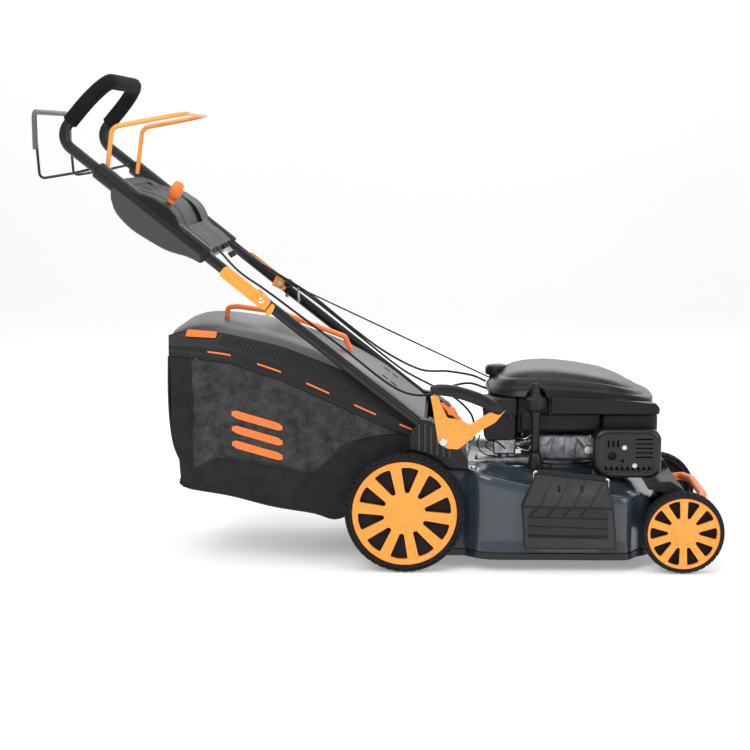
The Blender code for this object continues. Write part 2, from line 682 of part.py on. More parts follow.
def hood():
    """The engine's moulded hood, open below, cut back over the tank and the air filter."""
    shares = (0.985, 0.93, 0.82, 0.64, 0.40, 0.14)
    outer = [hood_ring(1.0, 0.0, HOOD_RIM_Z), hood_ring(1.0, 0.0, HOOD_EDGE_Z)]
    outer += [hood_ring(s, 0.0) for s in shares]
    inner = [hood_ring(1.0, HOOD_WALL, HOOD_RIM_Z), hood_ring(1.0, HOOD_WALL, HOOD_EDGE_Z - HOOD_WALL)]
    inner += [hood_ring(s, HOOD_WALL) for s in shares]
    bm = bmesh.new()
    rows = [[bm.verts.new(p) for p in ring] for ring in inner[::-1] + outer]
    count = len(rows[0])
    for one, two in zip(rows, rows[1:]):
        for i in range(count):
            j = (i + 1) % count
            bm.faces.new((one[i], one[j], two[j], two[i]))
    bm.faces.new(rows[0])
    bm.faces.new(rows[-1])
    shell = finish("engine_hood", bm, "grey plastic")
    notch = finish("hood_notch", block(0.10, 0.335, -0.25, 0.25, 0.30, 0.397), "grey plastic")
    oil_room = finish("oil_cap_room", turned(rod_profile(0.024 + CAP_ROOM, 0.30, 0.441), "Z",
                                             (OIL_CAP[0], OIL_CAP[1], 0), 16), "grey plastic")
    cap_room = finish("fuel_cap_room", turned(rod_profile(0.0305, 0.38, 0.50), "Z",
                                              (FUEL_CAP[0], FUEL_CAP[1], 0), 20), "grey plastic")
    rope_room = finish("rope_room", swept([Vector(ROPE_HOOD) - ROPE_WAY * 0.03,
                                           Vector(ROPE_HOOD) + ROPE_WAY * 0.07],
                                          0.006, 8), "grey plastic")
    cut(shell, notch, oil_room, cap_room, rope_room)


def guard_pot(x, half_x, z, half_z, rim_y, face_y, wall):
    """A pot with rounded corners whose mouth is at rim_y and whose flat face is at face_y."""
    def ring(inset, y):
        corner = 0.018 - inset * 0.5
        points = []
        for quarter in range(4):
            cx = x + (half_x - inset - corner) * (1 if quarter in (0, 3) else -1)
            cz = z + (half_z - inset - corner) * (1 if quarter in (0, 1) else -1)
            for step in range(4):
                a = math.pi / 2 * (quarter + step / 3)
                points.append((cx + corner * math.cos(a), y, cz + corner * math.sin(a)))
        return points
    round_off = 0.008
    outer = [ring(0.0, rim_y), ring(0.0, face_y + round_off),
             ring(round_off * 0.3, face_y + round_off * 0.3),
             ring(round_off, face_y)]
    inner = [ring(wall, rim_y), ring(wall, face_y + round_off), ring(wall + round_off, face_y + wall)]
    return skin(inner[::-1] + outer)


def engine_services():
    """Fuel, air, oil and exhaust pieces around the engine."""
    cap_x, cap_y, seat = FUEL_CAP
    tank = finish("fuel_tank", block(cap_x - 0.0205, cap_x + 0.0545, 0.004, 0.105, 0.300, 0.386),
                  "black plastic")
    bevel(tank, 0.008, 1)
    neck = finish("tank_neck", turned(rod_profile(0.019, 0.380, seat - 0.0005), "Z", (cap_x, cap_y, 0), 16),
                  "black plastic")
    stay = finish("tank_stay", block(cap_x + 0.0415, CASE_REAR_X - 0.0005, 0.010, 0.040, 0.255, 0.310),
                  "black plastic")
    add(tank, neck, stay)
    cap = [(0, seat), (0.0285, seat), (0.0285, seat + 0.0185), (0.025, seat + 0.0245), (0, seat + 0.0245)]
    finish("fuel_cap", turned(cap, "Z", (cap_x, cap_y, 0), 20), "grey plastic", FUEL_CAP)

    box = [(0.190, 0.292), (0.250, 0.292), (0.258, 0.302), (0.262, 0.349), (0.262, 0.393),
           (0.182, 0.393), (0.182, 0.349), (0.184, 0.302)]
    air = finish("air_filter_box", prism(box, -0.158, -0.080), "black plastic")
    bevel(air, 0.005, 1)
    carb = finish("carburettor", block(0.205, 0.262, -0.128, -0.080, 0.252, 0.2915), "aluminium")
    pipe = finish("intake_pipe", swept([Vector((0.240, -0.092, 0.270)), Vector((0.2925, -0.060, 0.270))],
                                       0.012, 10),
                  "aluminium")
    add(carb, pipe)
    cut(carb, finish("carb_case_room", turned(rod_profile(CRANKCASE_R + GAP, 0.236, 0.299), "Z",
                                              (CRANK_X, 0, 0), 32),
                     "aluminium"))

    tube = rounded([(0.322, -0.084, 0.262), (OIL_CAP[0], -0.168, 0.250),
                    (OIL_CAP[0], OIL_CAP[1] + 0.001, OIL_CAP[2] - 0.0015)],
                   0.03, 4)
    filler = finish("oil_filler_tube", swept(tube, 0.0105, 10), "black plastic")
    cut(filler, finish("case_room", turned(rod_profile(CRANKCASE_R + GAP, 0.236, 0.299), "Z",
                                           (CRANK_X, 0, 0), 32),
                       "aluminium"))
    oil_x, oil_y, low = OIL_CAP
    oil = [(0, low), (0.024, low), (0.024, low + 0.0225), (0.013, low + 0.0305), (0.007, low + 0.0585),
           (0, low + 0.0585)]
    finish("oil_cap", turned(oil, "Z", (oil_x, oil_y, 0), 12), "black plastic", OIL_CAP)

    silencer = finish("muffler", block(0.456, 0.578, -0.178, -0.054, 0.228, 0.306), "steel")
    bevel(silencer, 0.012, 2)
    cut(silencer, finish("muffler_inside", block(0.472, 0.562, -0.172, -0.03, 0.244, 0.290), "steel"))
    finish("muffler_guard", guard_pot(0.5165, 0.0785, 0.268, 0.057, -0.112, -0.195, 0.003), "black paint")


# ---- handle -------------------------------------------------------------------------
def handle_tubes():
    """Lower tubes with their deck brackets, and the one-piece upper handle."""
    foot, fold = Vector(TUBE_FOOT), Vector(FOLD_AT)
    up = (fold - foot).normalized()
    neck_way = (Vector(NECK_AT) - fold).normalized()
    for side, sign in (("L", 1), ("R", -1)):
        y = sign * TUBE_Y
        head = fold + up * TUBE_R
        path = [Vector((foot.x, y, foot.y)), Vector((head.x, y, head.y))]
        tube = finish(f"lower_tube_{side}", swept(path, TUBE_R, 14), "black paint")
        start = fold - up * LAP
        end = fold + up * 0.04
        inner, outer = sorted((y - sign * 0.04, y + sign * GAP))
        lap = lap_cutter(f"lower_lap_{side}", start, end, inner, outer)
        hole = finish(f"bolt_room_{side}", turned(rod_profile(BOLT_R + GAP, -0.05, 0.05), "Y",
                                                  (fold.x, y, fold.y), 12),
                      "steel")
        cut(tube, lap, hole)

        outline = [(0.012, 0.318), (0.016, 0.2466), (0.148, 0.2400), (0.146, 0.262), (0.104, 0.322),
                   (0.060, 0.352), (0.036, 0.356)]
        y0, y1 = sorted((sign * BRACKET_IN, sign * BRACKET_OUT))
        bracket = finish(f"handle_bracket_{side}", prism(outline, y0, y1), "black plastic")
        socket_way = [Vector((foot.x, y, foot.y)) - Vector((up.x, 0, up.y)) * GAP,
                      Vector((foot.x, y, foot.y)) + Vector((up.x, 0, up.y)) * 0.12]
        socket = finish(f"socket_{side}", swept(socket_way, TUBE_R + GAP, 14), "steel")
        room_y = sorted((sign * (TRACK_HALF - TYRE_W - 0.002), sign * 0.30))
        room = finish(f"wheel_room_{side}", turned(rod_profile(REAR_WHEEL_R + WHEEL_ROOM, room_y[0],
                                                               room_y[1]), "Y",
                                                   (0, 0, REAR_WHEEL_R), 40), "steel")
        pin_y = sorted((sign * (BRACKET_IN - 0.01), sign * (BRACKET_IN + 0.018)))
        pin_room = finish(f"door_pin_room_{side}",
                          turned(rod_profile(DOOR_PIN_R + GAP, pin_y[0], pin_y[1]), "Y",
                                                          (DOOR_HINGE[0], 0, DOOR_HINGE[1]), 12), "steel")
        catcher_y = sorted((sign * 0.10, sign * (CATCHER_HALF + 0.0015)))
        catcher_room = finish(f"catcher_room_{side}",
                              block(-0.1, 0.056, catcher_y[0], catcher_y[1], 0.20, 0.45), "steel")
        cut(bracket, socket, room, pin_room, catcher_room)
        if side == "R":
            cut(bracket, finish("lever_pin_room", turned(rod_profile(0.0055, -0.40, LEVER_Y + 0.0262), "Y",
                                                         (LEVER_PIVOT[0], 0, LEVER_PIVOT[1]), 12), "steel"))

    low = fold - neck_way * TUBE_R
    corner, top = Vector(NECK_AT), Vector(GRIP_AT)
    left = [(low.x, TUBE_Y, low.y), (corner.x, TUBE_Y, corner.y), (top.x, TUBE_Y, top.y)]
    right = [(x, -y, z) for x, y, z in reversed(left)]
    path = rounded(left + right, [0.038, 0.050, 0.050, 0.038], 4)
    upper = finish("upper_handle", swept(path, TUBE_R, 12), "black paint", (fold.x, 0, fold.y))
    for side, sign in (("L", 1), ("R", -1)):
        y = sign * TUBE_Y
        inner, outer = sorted((y - sign * GAP, y + sign * 0.04))
        lap = lap_cutter(f"upper_lap_{side}", fold - neck_way * 0.04, fold + neck_way * LAP, inner, outer)
        hole = finish(f"upper_bolt_room_{side}", turned(rod_profile(BOLT_R + GAP, -0.05, 0.05), "Y",
                                                        (fold.x, y, fold.y), 12), "steel")
        cut(upper, lap, hole)

    start = top + (corner - top) * 0.74
    left = [(start.x, TUBE_Y, start.y), (top.x, TUBE_Y, top.y)]
    right = [(x, -y, z) for x, y, z in reversed(left)]
    path = rounded(left + right, 0.050, 4)
    inner = swept_rings(path, [circle(TUBE_R / math.cos(math.pi / 12) + GAP, 12)] * len(path))
    outer = swept_rings(path, [circle(FOAM_R, 12)] * len(path))
    finish("foam_grip", skin(outer + inner[::-1], closed=True), "foam")


def lap_cutter(name, start, end, y0, y1):
    """A slab across a tube between two X, Z points, from y0 to y1."""
    way = (end - start).normalized()
    side = Vector((-way.y, way.x)) * 0.03
    return finish(name, prism([start - side, end - side, end + side, start + side], y0, y1), "steel")


def clamp(side):
    """A quick-release lever outside the tubes and the through bolt with its inner plate."""
    sign = 1 if side == "L" else -1
    fold = Vector(FOLD_AT)
    way = (Vector(NECK_AT) - fold).normalized()
    square = Vector((way.y, -way.x))
    face = TUBE_Y + TUBE_R + 0.0015
    plate = TUBE_Y - TUBE_R - 0.0012
    y0, y1 = sorted((sign * (plate - 0.004), sign * (face + 0.0035)))
    bolt = finish(f"clamp_bolt_{side}", turned(rod_profile(BOLT_R, y0, y1), "Y", (fold.x, 0, fold.y),
                                               10), "orange")
    corners = [fold + way * 0.022 + square * 0.014, fold + way * 0.016 - square * 0.016,
               fold - way * 0.018 - square * 0.008, fold - way * 0.016 + square * 0.010]
    y0, y1 = sorted((sign * (plate - 0.004), sign * plate))
    add(bolt, finish(f"clamp_plate_{side}", prism(corners, y0, y1), "orange"))
    washer_y = sorted((sign * (face - 0.001), sign * (face + 0.002)))
    add(bolt, finish(f"clamp_washer_{side}", turned(rod_profile(0.009, washer_y[0], washer_y[1]), "Y",
                                                    (fold.x, 0, fold.y), 12), "orange"))

    pivot = fold - way * CLAMP_SET
    inner = face + 0.0042
    half = 0.0145
    tail, tip, bend = -CLAMP_TAIL, CLAMP_LONG, CLAMP_LONG - 0.004
    straight = CLAMP_LONG - 0.017
    outline = [pivot + way * tail - square * half * 0.8, pivot + way * tail + square * half * 0.8,
               pivot + way * 0.0075 + square * half, pivot + way * straight + square * half,
               pivot + way * bend + square * half * 0.55, pivot + way * tip,
               pivot + way * bend - square * half * 0.55, pivot + way * straight - square * half,
               pivot + way * 0.0075 - square * half]
    y0, y1 = sorted((sign * inner, sign * (inner + 0.006)))
    finish(f"clamp_lever_{side}", prism(outline, y0, y1), "orange",
           (pivot.x, sign * (inner + 0.003), pivot.y))


def bails():
    """The rear wire loop that engages the drive and the front loop that frees the brake."""
    px, pz = DRIVE_PIVOT
    wall = TUBE_Y - TUBE_R - 0.0006
    left = [(px, wall, pz), (px, DRIVE_Y, pz), (-0.765, DRIVE_Y, 0.921), (-0.842, DRIVE_Y, 0.909),
            (-0.8515, DRIVE_Y, 1.062)]
    right = [(x, -y, z) for x, y, z in reversed(left)]
    path = rounded(left + right, [0.006, 0.02, 0.012, 0.022, 0.022, 0.012, 0.02, 0.006], 3)
    radii = [DRIVE_SLEEVE_R if p.z > 0.975 else DRIVE_WIRE_R for p in path]
    spread, thick = [], []
    for a, b, ra, rb in zip(path, path[1:], radii, radii[1:]):
        spread.append(a)
        thick.append(ra)
        if ra != rb:
            t = (0.975 - a.z) / (b.z - a.z)
            near, far = a.lerp(b, t - 0.004 / (b - a).length), a.lerp(b, t + 0.004 / (b - a).length)
            spread += [near, far]
            thick += [ra, rb]
    spread.append(path[-1])
    thick.append(radii[-1])
    finish("drive_bail", swept(spread, thick, 8), "bail grey", (px, 0, pz))

    px, pz = BRAKE_PIVOT
    left = [(px, wall, pz), (px, BRAKE_Y, pz), (-0.667, BRAKE_Y, 1.026), (-0.500, BRAKE_Y - 0.004, 1.056)]
    right = [(x, -y, z) for x, y, z in reversed(left)]
    path = rounded(left + right, [0.006, 0.022, 0.055, 0.055, 0.022, 0.006], 4)
    finish("brake_bail", swept(path, BRAKE_R, 8), "orange", (px, 0, pz))


def console():
    """The pod across the upper tubes: base, cover and the throttle lever."""
    lift = Vector((0.0, 0.0003))
    rear, front = CONSOLE_REAR, CONSOLE_FRONT
    belly = [(-0.466, 0.716), (-0.495, 0.730), (-0.540, 0.744), (-0.585, 0.769), (-0.626, 0.797),
             (-0.658, 0.833), (-0.669, 0.866)]
    base = finish("console_base", prism([rear - lift, front - lift] + belly, -CONSOLE_HALF,
                                        CONSOLE_HALF), "grey plastic")
    hump = [(-0.668, 0.906), (-0.623, 0.884), (-0.587, 0.873), (-0.551, 0.855), (-0.524, 0.832),
            (-0.508, 0.798),
            (-0.478, 0.772), (-0.447, 0.745)]
    cover = finish("console_cover", prism([front + lift, rear + lift] + hump, -CONSOLE_HALF,
                                          CONSOLE_HALF), "grey plastic")
    middle = Vector((-0.568, 0.812))
    for obj, outline in ((base, [rear, front] + belly), (cover, [front, rear] + hump)):
        inner = [middle + (Vector(p) - middle) * 0.93 for p in outline]
        opened = [q + Vector((0.0, 0.02 if obj is base else -0.02)) if k < 2 else q for k,
                  q in enumerate(inner)]
        cut(obj, finish("inside_" + obj.name, prism(opened, -CONSOLE_HALF + 0.049, CONSOLE_HALF - 0.049),
                        "grey plastic"))
    fold, neck = Vector(FOLD_AT), Vector(NECK_AT)
    for obj, tag in ((base, "base"), (cover, "cover")):
        for sign in (1, -1):
            way = [Vector((fold.x, sign * TUBE_Y, fold.y)), Vector((neck.x, sign * TUBE_Y, neck.y))]
            cut(obj, finish(f"tube_room_{tag}_{sign}",
                            swept(way, TUBE_R / math.cos(math.pi / 12) + GAP, 12), "steel"))
    pivot = Vector(THROTTLE_PIVOT)
    room = THROTTLE_T / 2 + 0.002
    slot = finish("throttle_room", turned(rod_profile(0.125, THROTTLE_Y - room, THROTTLE_Y + room), "Y",
                                          (pivot.x, 0, pivot.y), 32), "steel")
    cut(cover, slot)

    lean = math.radians(64)
    way = Vector((math.cos(lean), math.sin(lean)))
    square = Vector((way.y, -way.x))
    stem = [pivot - way * 0.012 + square * 0.010, pivot + way * 0.080 + square * 0.006,
            pivot + way * 0.080 - square * 0.006, pivot - way * 0.012 - square * 0.010]
    lever = finish("throttle_lever", prism(stem, THROTTLE_Y - THROTTLE_T / 2, THROTTLE_Y + THROTTLE_T / 2),
                   "orange", (pivot.x, THROTTLE_Y, pivot.y))
    paddle = [pivot + way * 0.078 + square * 0.007, pivot + way * 0.118 + square * 0.010,
              pivot + way * 0.122 - square * 0.002, pivot + way * 0.078 - square * 0.004]
    add(lever, finish("throttle_paddle", prism(paddle, THROTTLE_Y - 0.012, THROTTLE_Y + 0.012), "orange"))


def starter_pull(tube):
    """The starter rope on its straight run into the hood, with its T grip, and its eye on the left tube."""
    start = Vector(ROPE_GUIDE) - ROPE_WAY * 0.004
    end = Vector(ROPE_HOOD) + ROPE_WAY * 0.210
    finish("starter_rope", swept([start, end], ROPE_R, 8), "foam", tuple(start))
    hand = start - ROPE_WAY * 0.0125
    bar = finish("starter_grip", swept([hand + Vector((0, -0.032, 0)), hand + Vector((0, 0.032, 0))],
                                       0.0115, 10),
                 "black plastic", tuple(start))
    stem = finish("grip_stem", swept([hand, start - ROPE_WAY * GAP], 0.007, 8), "black plastic")
    add(bar, stem)
    ring = Vector(ROPE_GUIDE) + ROPE_WAY * 0.012
    way_ring = [ring - ROPE_WAY * 0.003, ring + ROPE_WAY * 0.003]
    guide = finish("rope_guide", swept(way_ring, 0.0085, 10), "black paint")
    half = 0.003
    tube_z = at_x([FOLD_AT, TUBE_FOOT], ring.x)
    arm = finish("guide_arm", block(ring.x - half, ring.x + half, ring.y - half, TUBE_Y, tube_z - half,
                                    tube_z + half),
                 "black paint")
    post = finish("guide_post", block(ring.x - half, ring.x + half, ring.y - half, ring.y + half,
                                      tube_z - half, ring.z),
                  "black paint")
    add(tube, arm, post, guide)
    cut(tube, finish("guide_eye", swept([ring - ROPE_WAY * 0.02, ring + ROPE_WAY * 0.02],
                                        ROPE_R + 0.0014, 8),
                      "black paint"))


def cables():
    """Throttle, brake and drive cables on their runs from the console down."""
    cable("throttle_cable", [(-0.443, -0.125, 0.748), (-0.387, -0.160, 0.694), (-0.326, -0.176, 0.653),
                             (-0.268, -0.178, 0.610), (-0.152, -0.182, 0.522), (-0.030, -0.180, 0.426),
                             (0.040, -0.160, 0.401), (0.100, -0.125, 0.415), (0.150, -0.095, 0.420),
                             (0.192, -0.070, 0.404)], CABLE_R)
    cable("brake_cable", [(-0.443, 0.090, 0.748), (-0.385, 0.096, 0.705), (-0.326, 0.098, 0.668),
                          (-0.240, 0.105, 0.612), (-0.150, 0.130, 0.535), (-0.060, 0.168, 0.462),
                          (0.030, 0.155, 0.418),
                          (0.100, 0.120, 0.418), (0.160, 0.070, 0.415), (0.193, 0.045, 0.404)], CABLE_R)
    cable("drive_cable", [(-0.443, 0.150, 0.748), (-0.400, 0.175, 0.704), (-0.360, 0.1905, 0.676),
                          (-0.300, 0.1920, 0.634), (-0.230, 0.2060, 0.5815), (-0.120, 0.2146, 0.4910),
                          (-0.020, 0.2146, 0.4120), (0.050, 0.2060, 0.3740), (0.110, 0.180, 0.347),
                          (0.160, 0.160, 0.300), (0.168, 0.155, 0.2380)], CABLE_R)


def height_lever():
    """The V plate of the cutting-height lever with its curved grip."""
    pin = Vector(LEVER_PIVOT)
    outline = [(0.124, 0.286), (0.177, 0.331), (0.209, 0.349), (0.2340, 0.379), (0.2180, 0.3652),
               (0.198, 0.3735),
               (0.179, 0.362), (0.150, 0.343), (0.130, 0.356), (0.099, 0.359), (0.084, 0.392),
               (0.078, 0.4110),
               (0.060, 0.4122), (0.066, 0.380), (0.078, 0.300), (0.098, 0.288)]
    y0, y1 = LEVER_Y - LEVER_T / 2, LEVER_Y + LEVER_T / 2
    plate = finish("height_lever", prism(outline, y0, y1), "orange", (pin.x, LEVER_Y, pin.y))
    add(plate, finish("lever_pin", turned(rod_profile(0.005, y0 + 0.001, LEVER_Y + 0.0212), "Y",
                                          (pin.x, 0, pin.y), 12), "orange"))
    top = [Vector((0.058, 0.437)), Vector((0.100, 0.437)), Vector((0.140, 0.429)),
           Vector((0.184, 0.413)), Vector((0.230, 0.386))]
    low = [Vector((0.062, 0.413)), Vector((0.098, 0.410)), Vector((0.132, 0.402)),
           Vector((0.170, 0.388)), Vector((0.218, 0.367))]
    grip = finish("height_lever_grip", prism(top + low[::-1], LEVER_Y - 0.012, LEVER_Y + 0.012),
                  "grey plastic")
    bevel(grip, 0.006, 2)


# ---- grass catcher ------------------------------------------------------------------
def catcher():
    """Lid, frame, cloth bag and the carrying handle of the grass catcher."""
    frame = finish("catcher_frame", prism(RAIL_TOP + RAIL_LOW[::-1], -CATCHER_HALF, CATCHER_HALF),
                   "black plastic")
    inside = [(-0.520, 0.60), (0.030, 0.60), (0.030, 0.20), (-0.520, 0.20)]
    cut(frame, finish("frame_inside", prism(inside, -CATCHER_HALF + RAIL_WALL, CATCHER_HALF - RAIL_WALL),
                      "black plastic"))

    lift = 0.0005
    crown = [(-0.538, 0.556), (-0.500, 0.572), (-0.450, 0.571), (-0.380, 0.564), (-0.300, 0.548),
             (-0.200, 0.513),
             (-0.138, 0.486), (-0.054, 0.435), (0.045, 0.352)]
    under = [(x, z + lift) for x, z in RAIL_TOP[1:-1]]
    start = (-0.538, at_x(RAIL_TOP, -0.538) + lift)
    end = (0.045, at_x(RAIL_TOP, 0.045) + lift)
    side = CATCHER_HALF - LID_INSET
    lid = finish("catcher_lid", prism([start] + under + [end] + crown[::-1], -side, side), "lid grey")
    bevel(lid, 0.008, 2, 50)
    inside = [(x, z - LID_WALL) for x, z in crown[1:-1]]
    floor = [(crown[1][0], 0.40), (crown[-2][0], 0.30)]
    room = side - RAIL_WALL
    hollow = finish("lid_inside", prism([floor[0], floor[1]] + inside[::-1], -room, room), "lid grey")
    cut(lid, hollow)

    outline = [(-0.544, 0.4985), (-0.548, 0.346), (-0.541, 0.288), (-0.516, 0.212), (-0.498, 0.190),
               (-0.404, 0.165),
               (-0.309, 0.143), (-0.214, 0.125), (-0.160, 0.114), (-0.072, 0.150), (-0.042, 0.176),
               (-0.042, 0.262),
               (0.030, 0.262), (0.048, 0.2905)]
    top = [(x, z - GAP) for x, z in RAIL_LOW[1:-1]]
    bag = finish("catcher_bag", prism(outline + top[::-1], -CATCHER_HALF, CATCHER_HALF), "fabric")
    t = BAG_WALL
    inner = [(-0.537, 0.60), (-0.541, 0.346), (-0.534, 0.290), (-0.510, 0.217), (-0.494, 0.1965),
             (-0.404, 0.172),
             (-0.309, 0.150), (-0.214, 0.132), (-0.161, 0.121), (-0.075, 0.157), (-0.0355, 0.190),
             (-0.0355, 0.256),
             (-0.0355, 0.268), (0.038, 0.268), (0.038, 0.60)]
    cut(bag, finish("bag_inside", prism(inner, -CATCHER_HALF + t, CATCHER_HALF - t), "fabric"))
    mouth = finish("bag_mouth", block(-0.06, -0.02, -0.125, 0.125, 0.182, 0.240), "fabric")
    cut(bag, mouth)

    rise = [(-0.437, 0.5715), (-0.434, 0.5925), (-0.410, 0.5945), (-0.306, 0.580), (-0.150, 0.520),
            (-0.135, 0.4875)]
    path = rounded([(x, 0.0, z) for x, z in rise], [0.008, 0.01, 0.06, 0.012], 2)
    section = [(-0.012, -0.0055), (0.012, -0.0055), (0.012, 0.0055), (-0.012, 0.0055)]
    handle = finish("catcher_handle", skin(swept_rings(path, [section] * len(path))), "orange")
    through = [(x, z - 0.02) for x, z in crown] + [(x, z + 0.0005) for x, z in reversed(crown)]
    lid_room = finish("lid_room", prism(through, -0.03, 0.03), "lid grey")
    cut(handle, lid_room)


def build():
    for obj in list(bpy.data.objects):
        bpy.data.objects.remove(obj, do_unlink=True)
    for side in ("L", "R"):
        wheel("rear", side, 0.0, REAR_WHEEL_R, REAR_DISC_R)
        wheel("front", side, WHEELBASE, FRONT_WHEEL_R, FRONT_DISC_R)
        clamp(side)
    axle("rear_axle", 0.0, REAR_WHEEL_R)
    axle("front_axle", WHEELBASE, FRONT_WHEEL_R)
    deck = deck_shell()
    add(deck, discharge_flap())
    rear_door()
    front_end()
    crank_group()
    drive_train()
    engine_block()
    engine_services()
    hood()
    handle_tubes()
    bails()
    console()
    starter_pull(bpy.data.objects["lower_tube_L"])
    cables()
    height_lever()
    catcher()
    middle = (WHEELBASE + FRONT_WHEEL_R - 0.858) / 2
    for obj in bpy.data.objects:
        obj.location.x -= middle


build()
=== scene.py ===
"""Visual model of a walk-behind rotary lawn mower, built piece by piece round its CAD frame."""

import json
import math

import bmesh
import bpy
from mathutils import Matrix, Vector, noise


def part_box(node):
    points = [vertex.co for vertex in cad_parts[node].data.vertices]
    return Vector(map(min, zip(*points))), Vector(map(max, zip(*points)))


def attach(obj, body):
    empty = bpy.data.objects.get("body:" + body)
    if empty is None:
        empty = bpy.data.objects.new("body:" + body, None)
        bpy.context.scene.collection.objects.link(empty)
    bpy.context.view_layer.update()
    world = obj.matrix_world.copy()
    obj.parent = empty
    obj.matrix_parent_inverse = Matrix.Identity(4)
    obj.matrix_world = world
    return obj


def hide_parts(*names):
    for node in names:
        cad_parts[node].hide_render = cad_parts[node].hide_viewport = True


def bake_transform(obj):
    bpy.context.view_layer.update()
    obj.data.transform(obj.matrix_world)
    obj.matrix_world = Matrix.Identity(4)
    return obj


bl_info = {
    "name": "Rotary lawn mower pieces",
    "version": (1, 0, 0),
    "blender": (4, 5, 0),
    "location": "3D View > Sidebar > Mower",
    "description": "Builds the finished surfaces of a rotary lawn mower round its frame",
    "category": "Add Mesh",
}

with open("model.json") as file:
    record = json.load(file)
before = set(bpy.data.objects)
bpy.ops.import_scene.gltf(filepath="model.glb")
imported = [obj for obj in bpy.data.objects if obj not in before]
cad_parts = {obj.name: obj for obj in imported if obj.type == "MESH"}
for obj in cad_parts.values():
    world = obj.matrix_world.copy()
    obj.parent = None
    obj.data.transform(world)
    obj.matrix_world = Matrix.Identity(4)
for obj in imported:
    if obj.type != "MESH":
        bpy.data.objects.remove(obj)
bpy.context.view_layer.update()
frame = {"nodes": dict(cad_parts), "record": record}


# ---- places read from the frame ---------------------------------------------------------
def low(node):
    return Vector(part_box(node)[0])


def high(node):
    return Vector(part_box(node)[1])


def middle(node):
    return (low(node) + high(node)) / 2


REAR_AXLE = middle("rear_axle")
FRONT_AXLE = middle("front_axle")
SHIFT = REAR_AXLE.x                      # every X given below counts from the rear axle
TUBE_R = 0.0125
TUBE_Y = abs(low("lower_tube_R").y + TUBE_R)


def at(x, y, z):
    return Vector((x + SHIFT, y, z))


def at_x(points, x):
    """Z read from a line of X, Z points that rise in X."""
    if x <= points[0][0]:
        return points[0][1]
    for (xa, za), (xb, zb) in zip(points, points[1:]):
        if x <= xb:
            return za + (zb - za) * (x - xa) / (xb - xa)
    return points[-1][1]


def ease(t):
    t = min(1.0, max(0.0, t))
    return t * t * (3 - 2 * t)


# ---- finishes ---------------------------------------------------------------------------
class MowerColours(bpy.types.PropertyGroup):
    orange: bpy.props.FloatVectorProperty(
        name="Orange", description="Wheel discs, levers and bails", subtype="COLOR", size=3,
        default=(0.92, 0.315, 0.046), min=0, max=1)
    flame: bpy.props.FloatVectorProperty(
        name="Flame orange", description="Inlays, knobs, carrying handle and stripes", subtype="COLOR",
        size=3,
        default=(0.85, 0.185, 0.032), min=0, max=1)
    deck: bpy.props.FloatVectorProperty(
        name="Deck paint", description="Blue grey gloss paint of the steel deck", subtype="COLOR", size=3,
        default=(0.026, 0.037, 0.047), min=0, max=1)
    black: bpy.props.FloatVectorProperty(
        name="Black plastic", description="Textured mouldings", subtype="COLOR", size=3,
        default=(0.0085, 0.0085, 0.0095), min=0, max=1)
    grey: bpy.props.FloatVectorProperty(
        name="Grey plastic", description="Engine hood and console", subtype="COLOR", size=3,
        default=(0.008, 0.0085, 0.0095), min=0, max=1)
    lid: bpy.props.FloatVectorProperty(
        name="Catcher lid", description="Glossy grey lid of the catcher", subtype="COLOR", size=3,
        default=(0.080, 0.080, 0.085), min=0, max=1)
    bail: bpy.props.FloatVectorProperty(
        name="Bail grey", description="Sleeve of the drive bail", subtype="COLOR", size=3,
        default=(0.10, 0.10, 0.108), min=0, max=1)


class MowerSizes(bpy.types.PropertyGroup):
    rear_lugs: bpy.props.IntProperty(
        name="Rear lugs", description="Tread blocks round a rear tyre", default=46, min=12, max=90)
    front_lugs: bpy.props.IntProperty(
        name="Front lugs", description="Tread blocks round a front tyre", default=36, min=12, max=90)
    lug_height: bpy.props.FloatProperty(
        name="Lug height", description="How far a tread block stands out", default=0.0026, min=0.001,
        max=0.006,
        unit="LENGTH")
    openings: bpy.props.IntProperty(
        name="Disc openings", description="Openings between a disc's spokes", default=10, min=4, max=16)
    tube_sides: bpy.props.IntProperty(
        name="Tube sides", description="Sides of a swept tube", default=28, min=8, max=64)
    bag_wrinkle: bpy.props.FloatProperty(
        name="Bag wrinkles", description="Depth of the creases in the catcher's cloth", default=0.0045,
        min=0.0,
        max=0.01, unit="LENGTH")


def colours():
    return bpy.context.scene.mower_colours


def sizes():
    return bpy.context.scene.mower_sizes


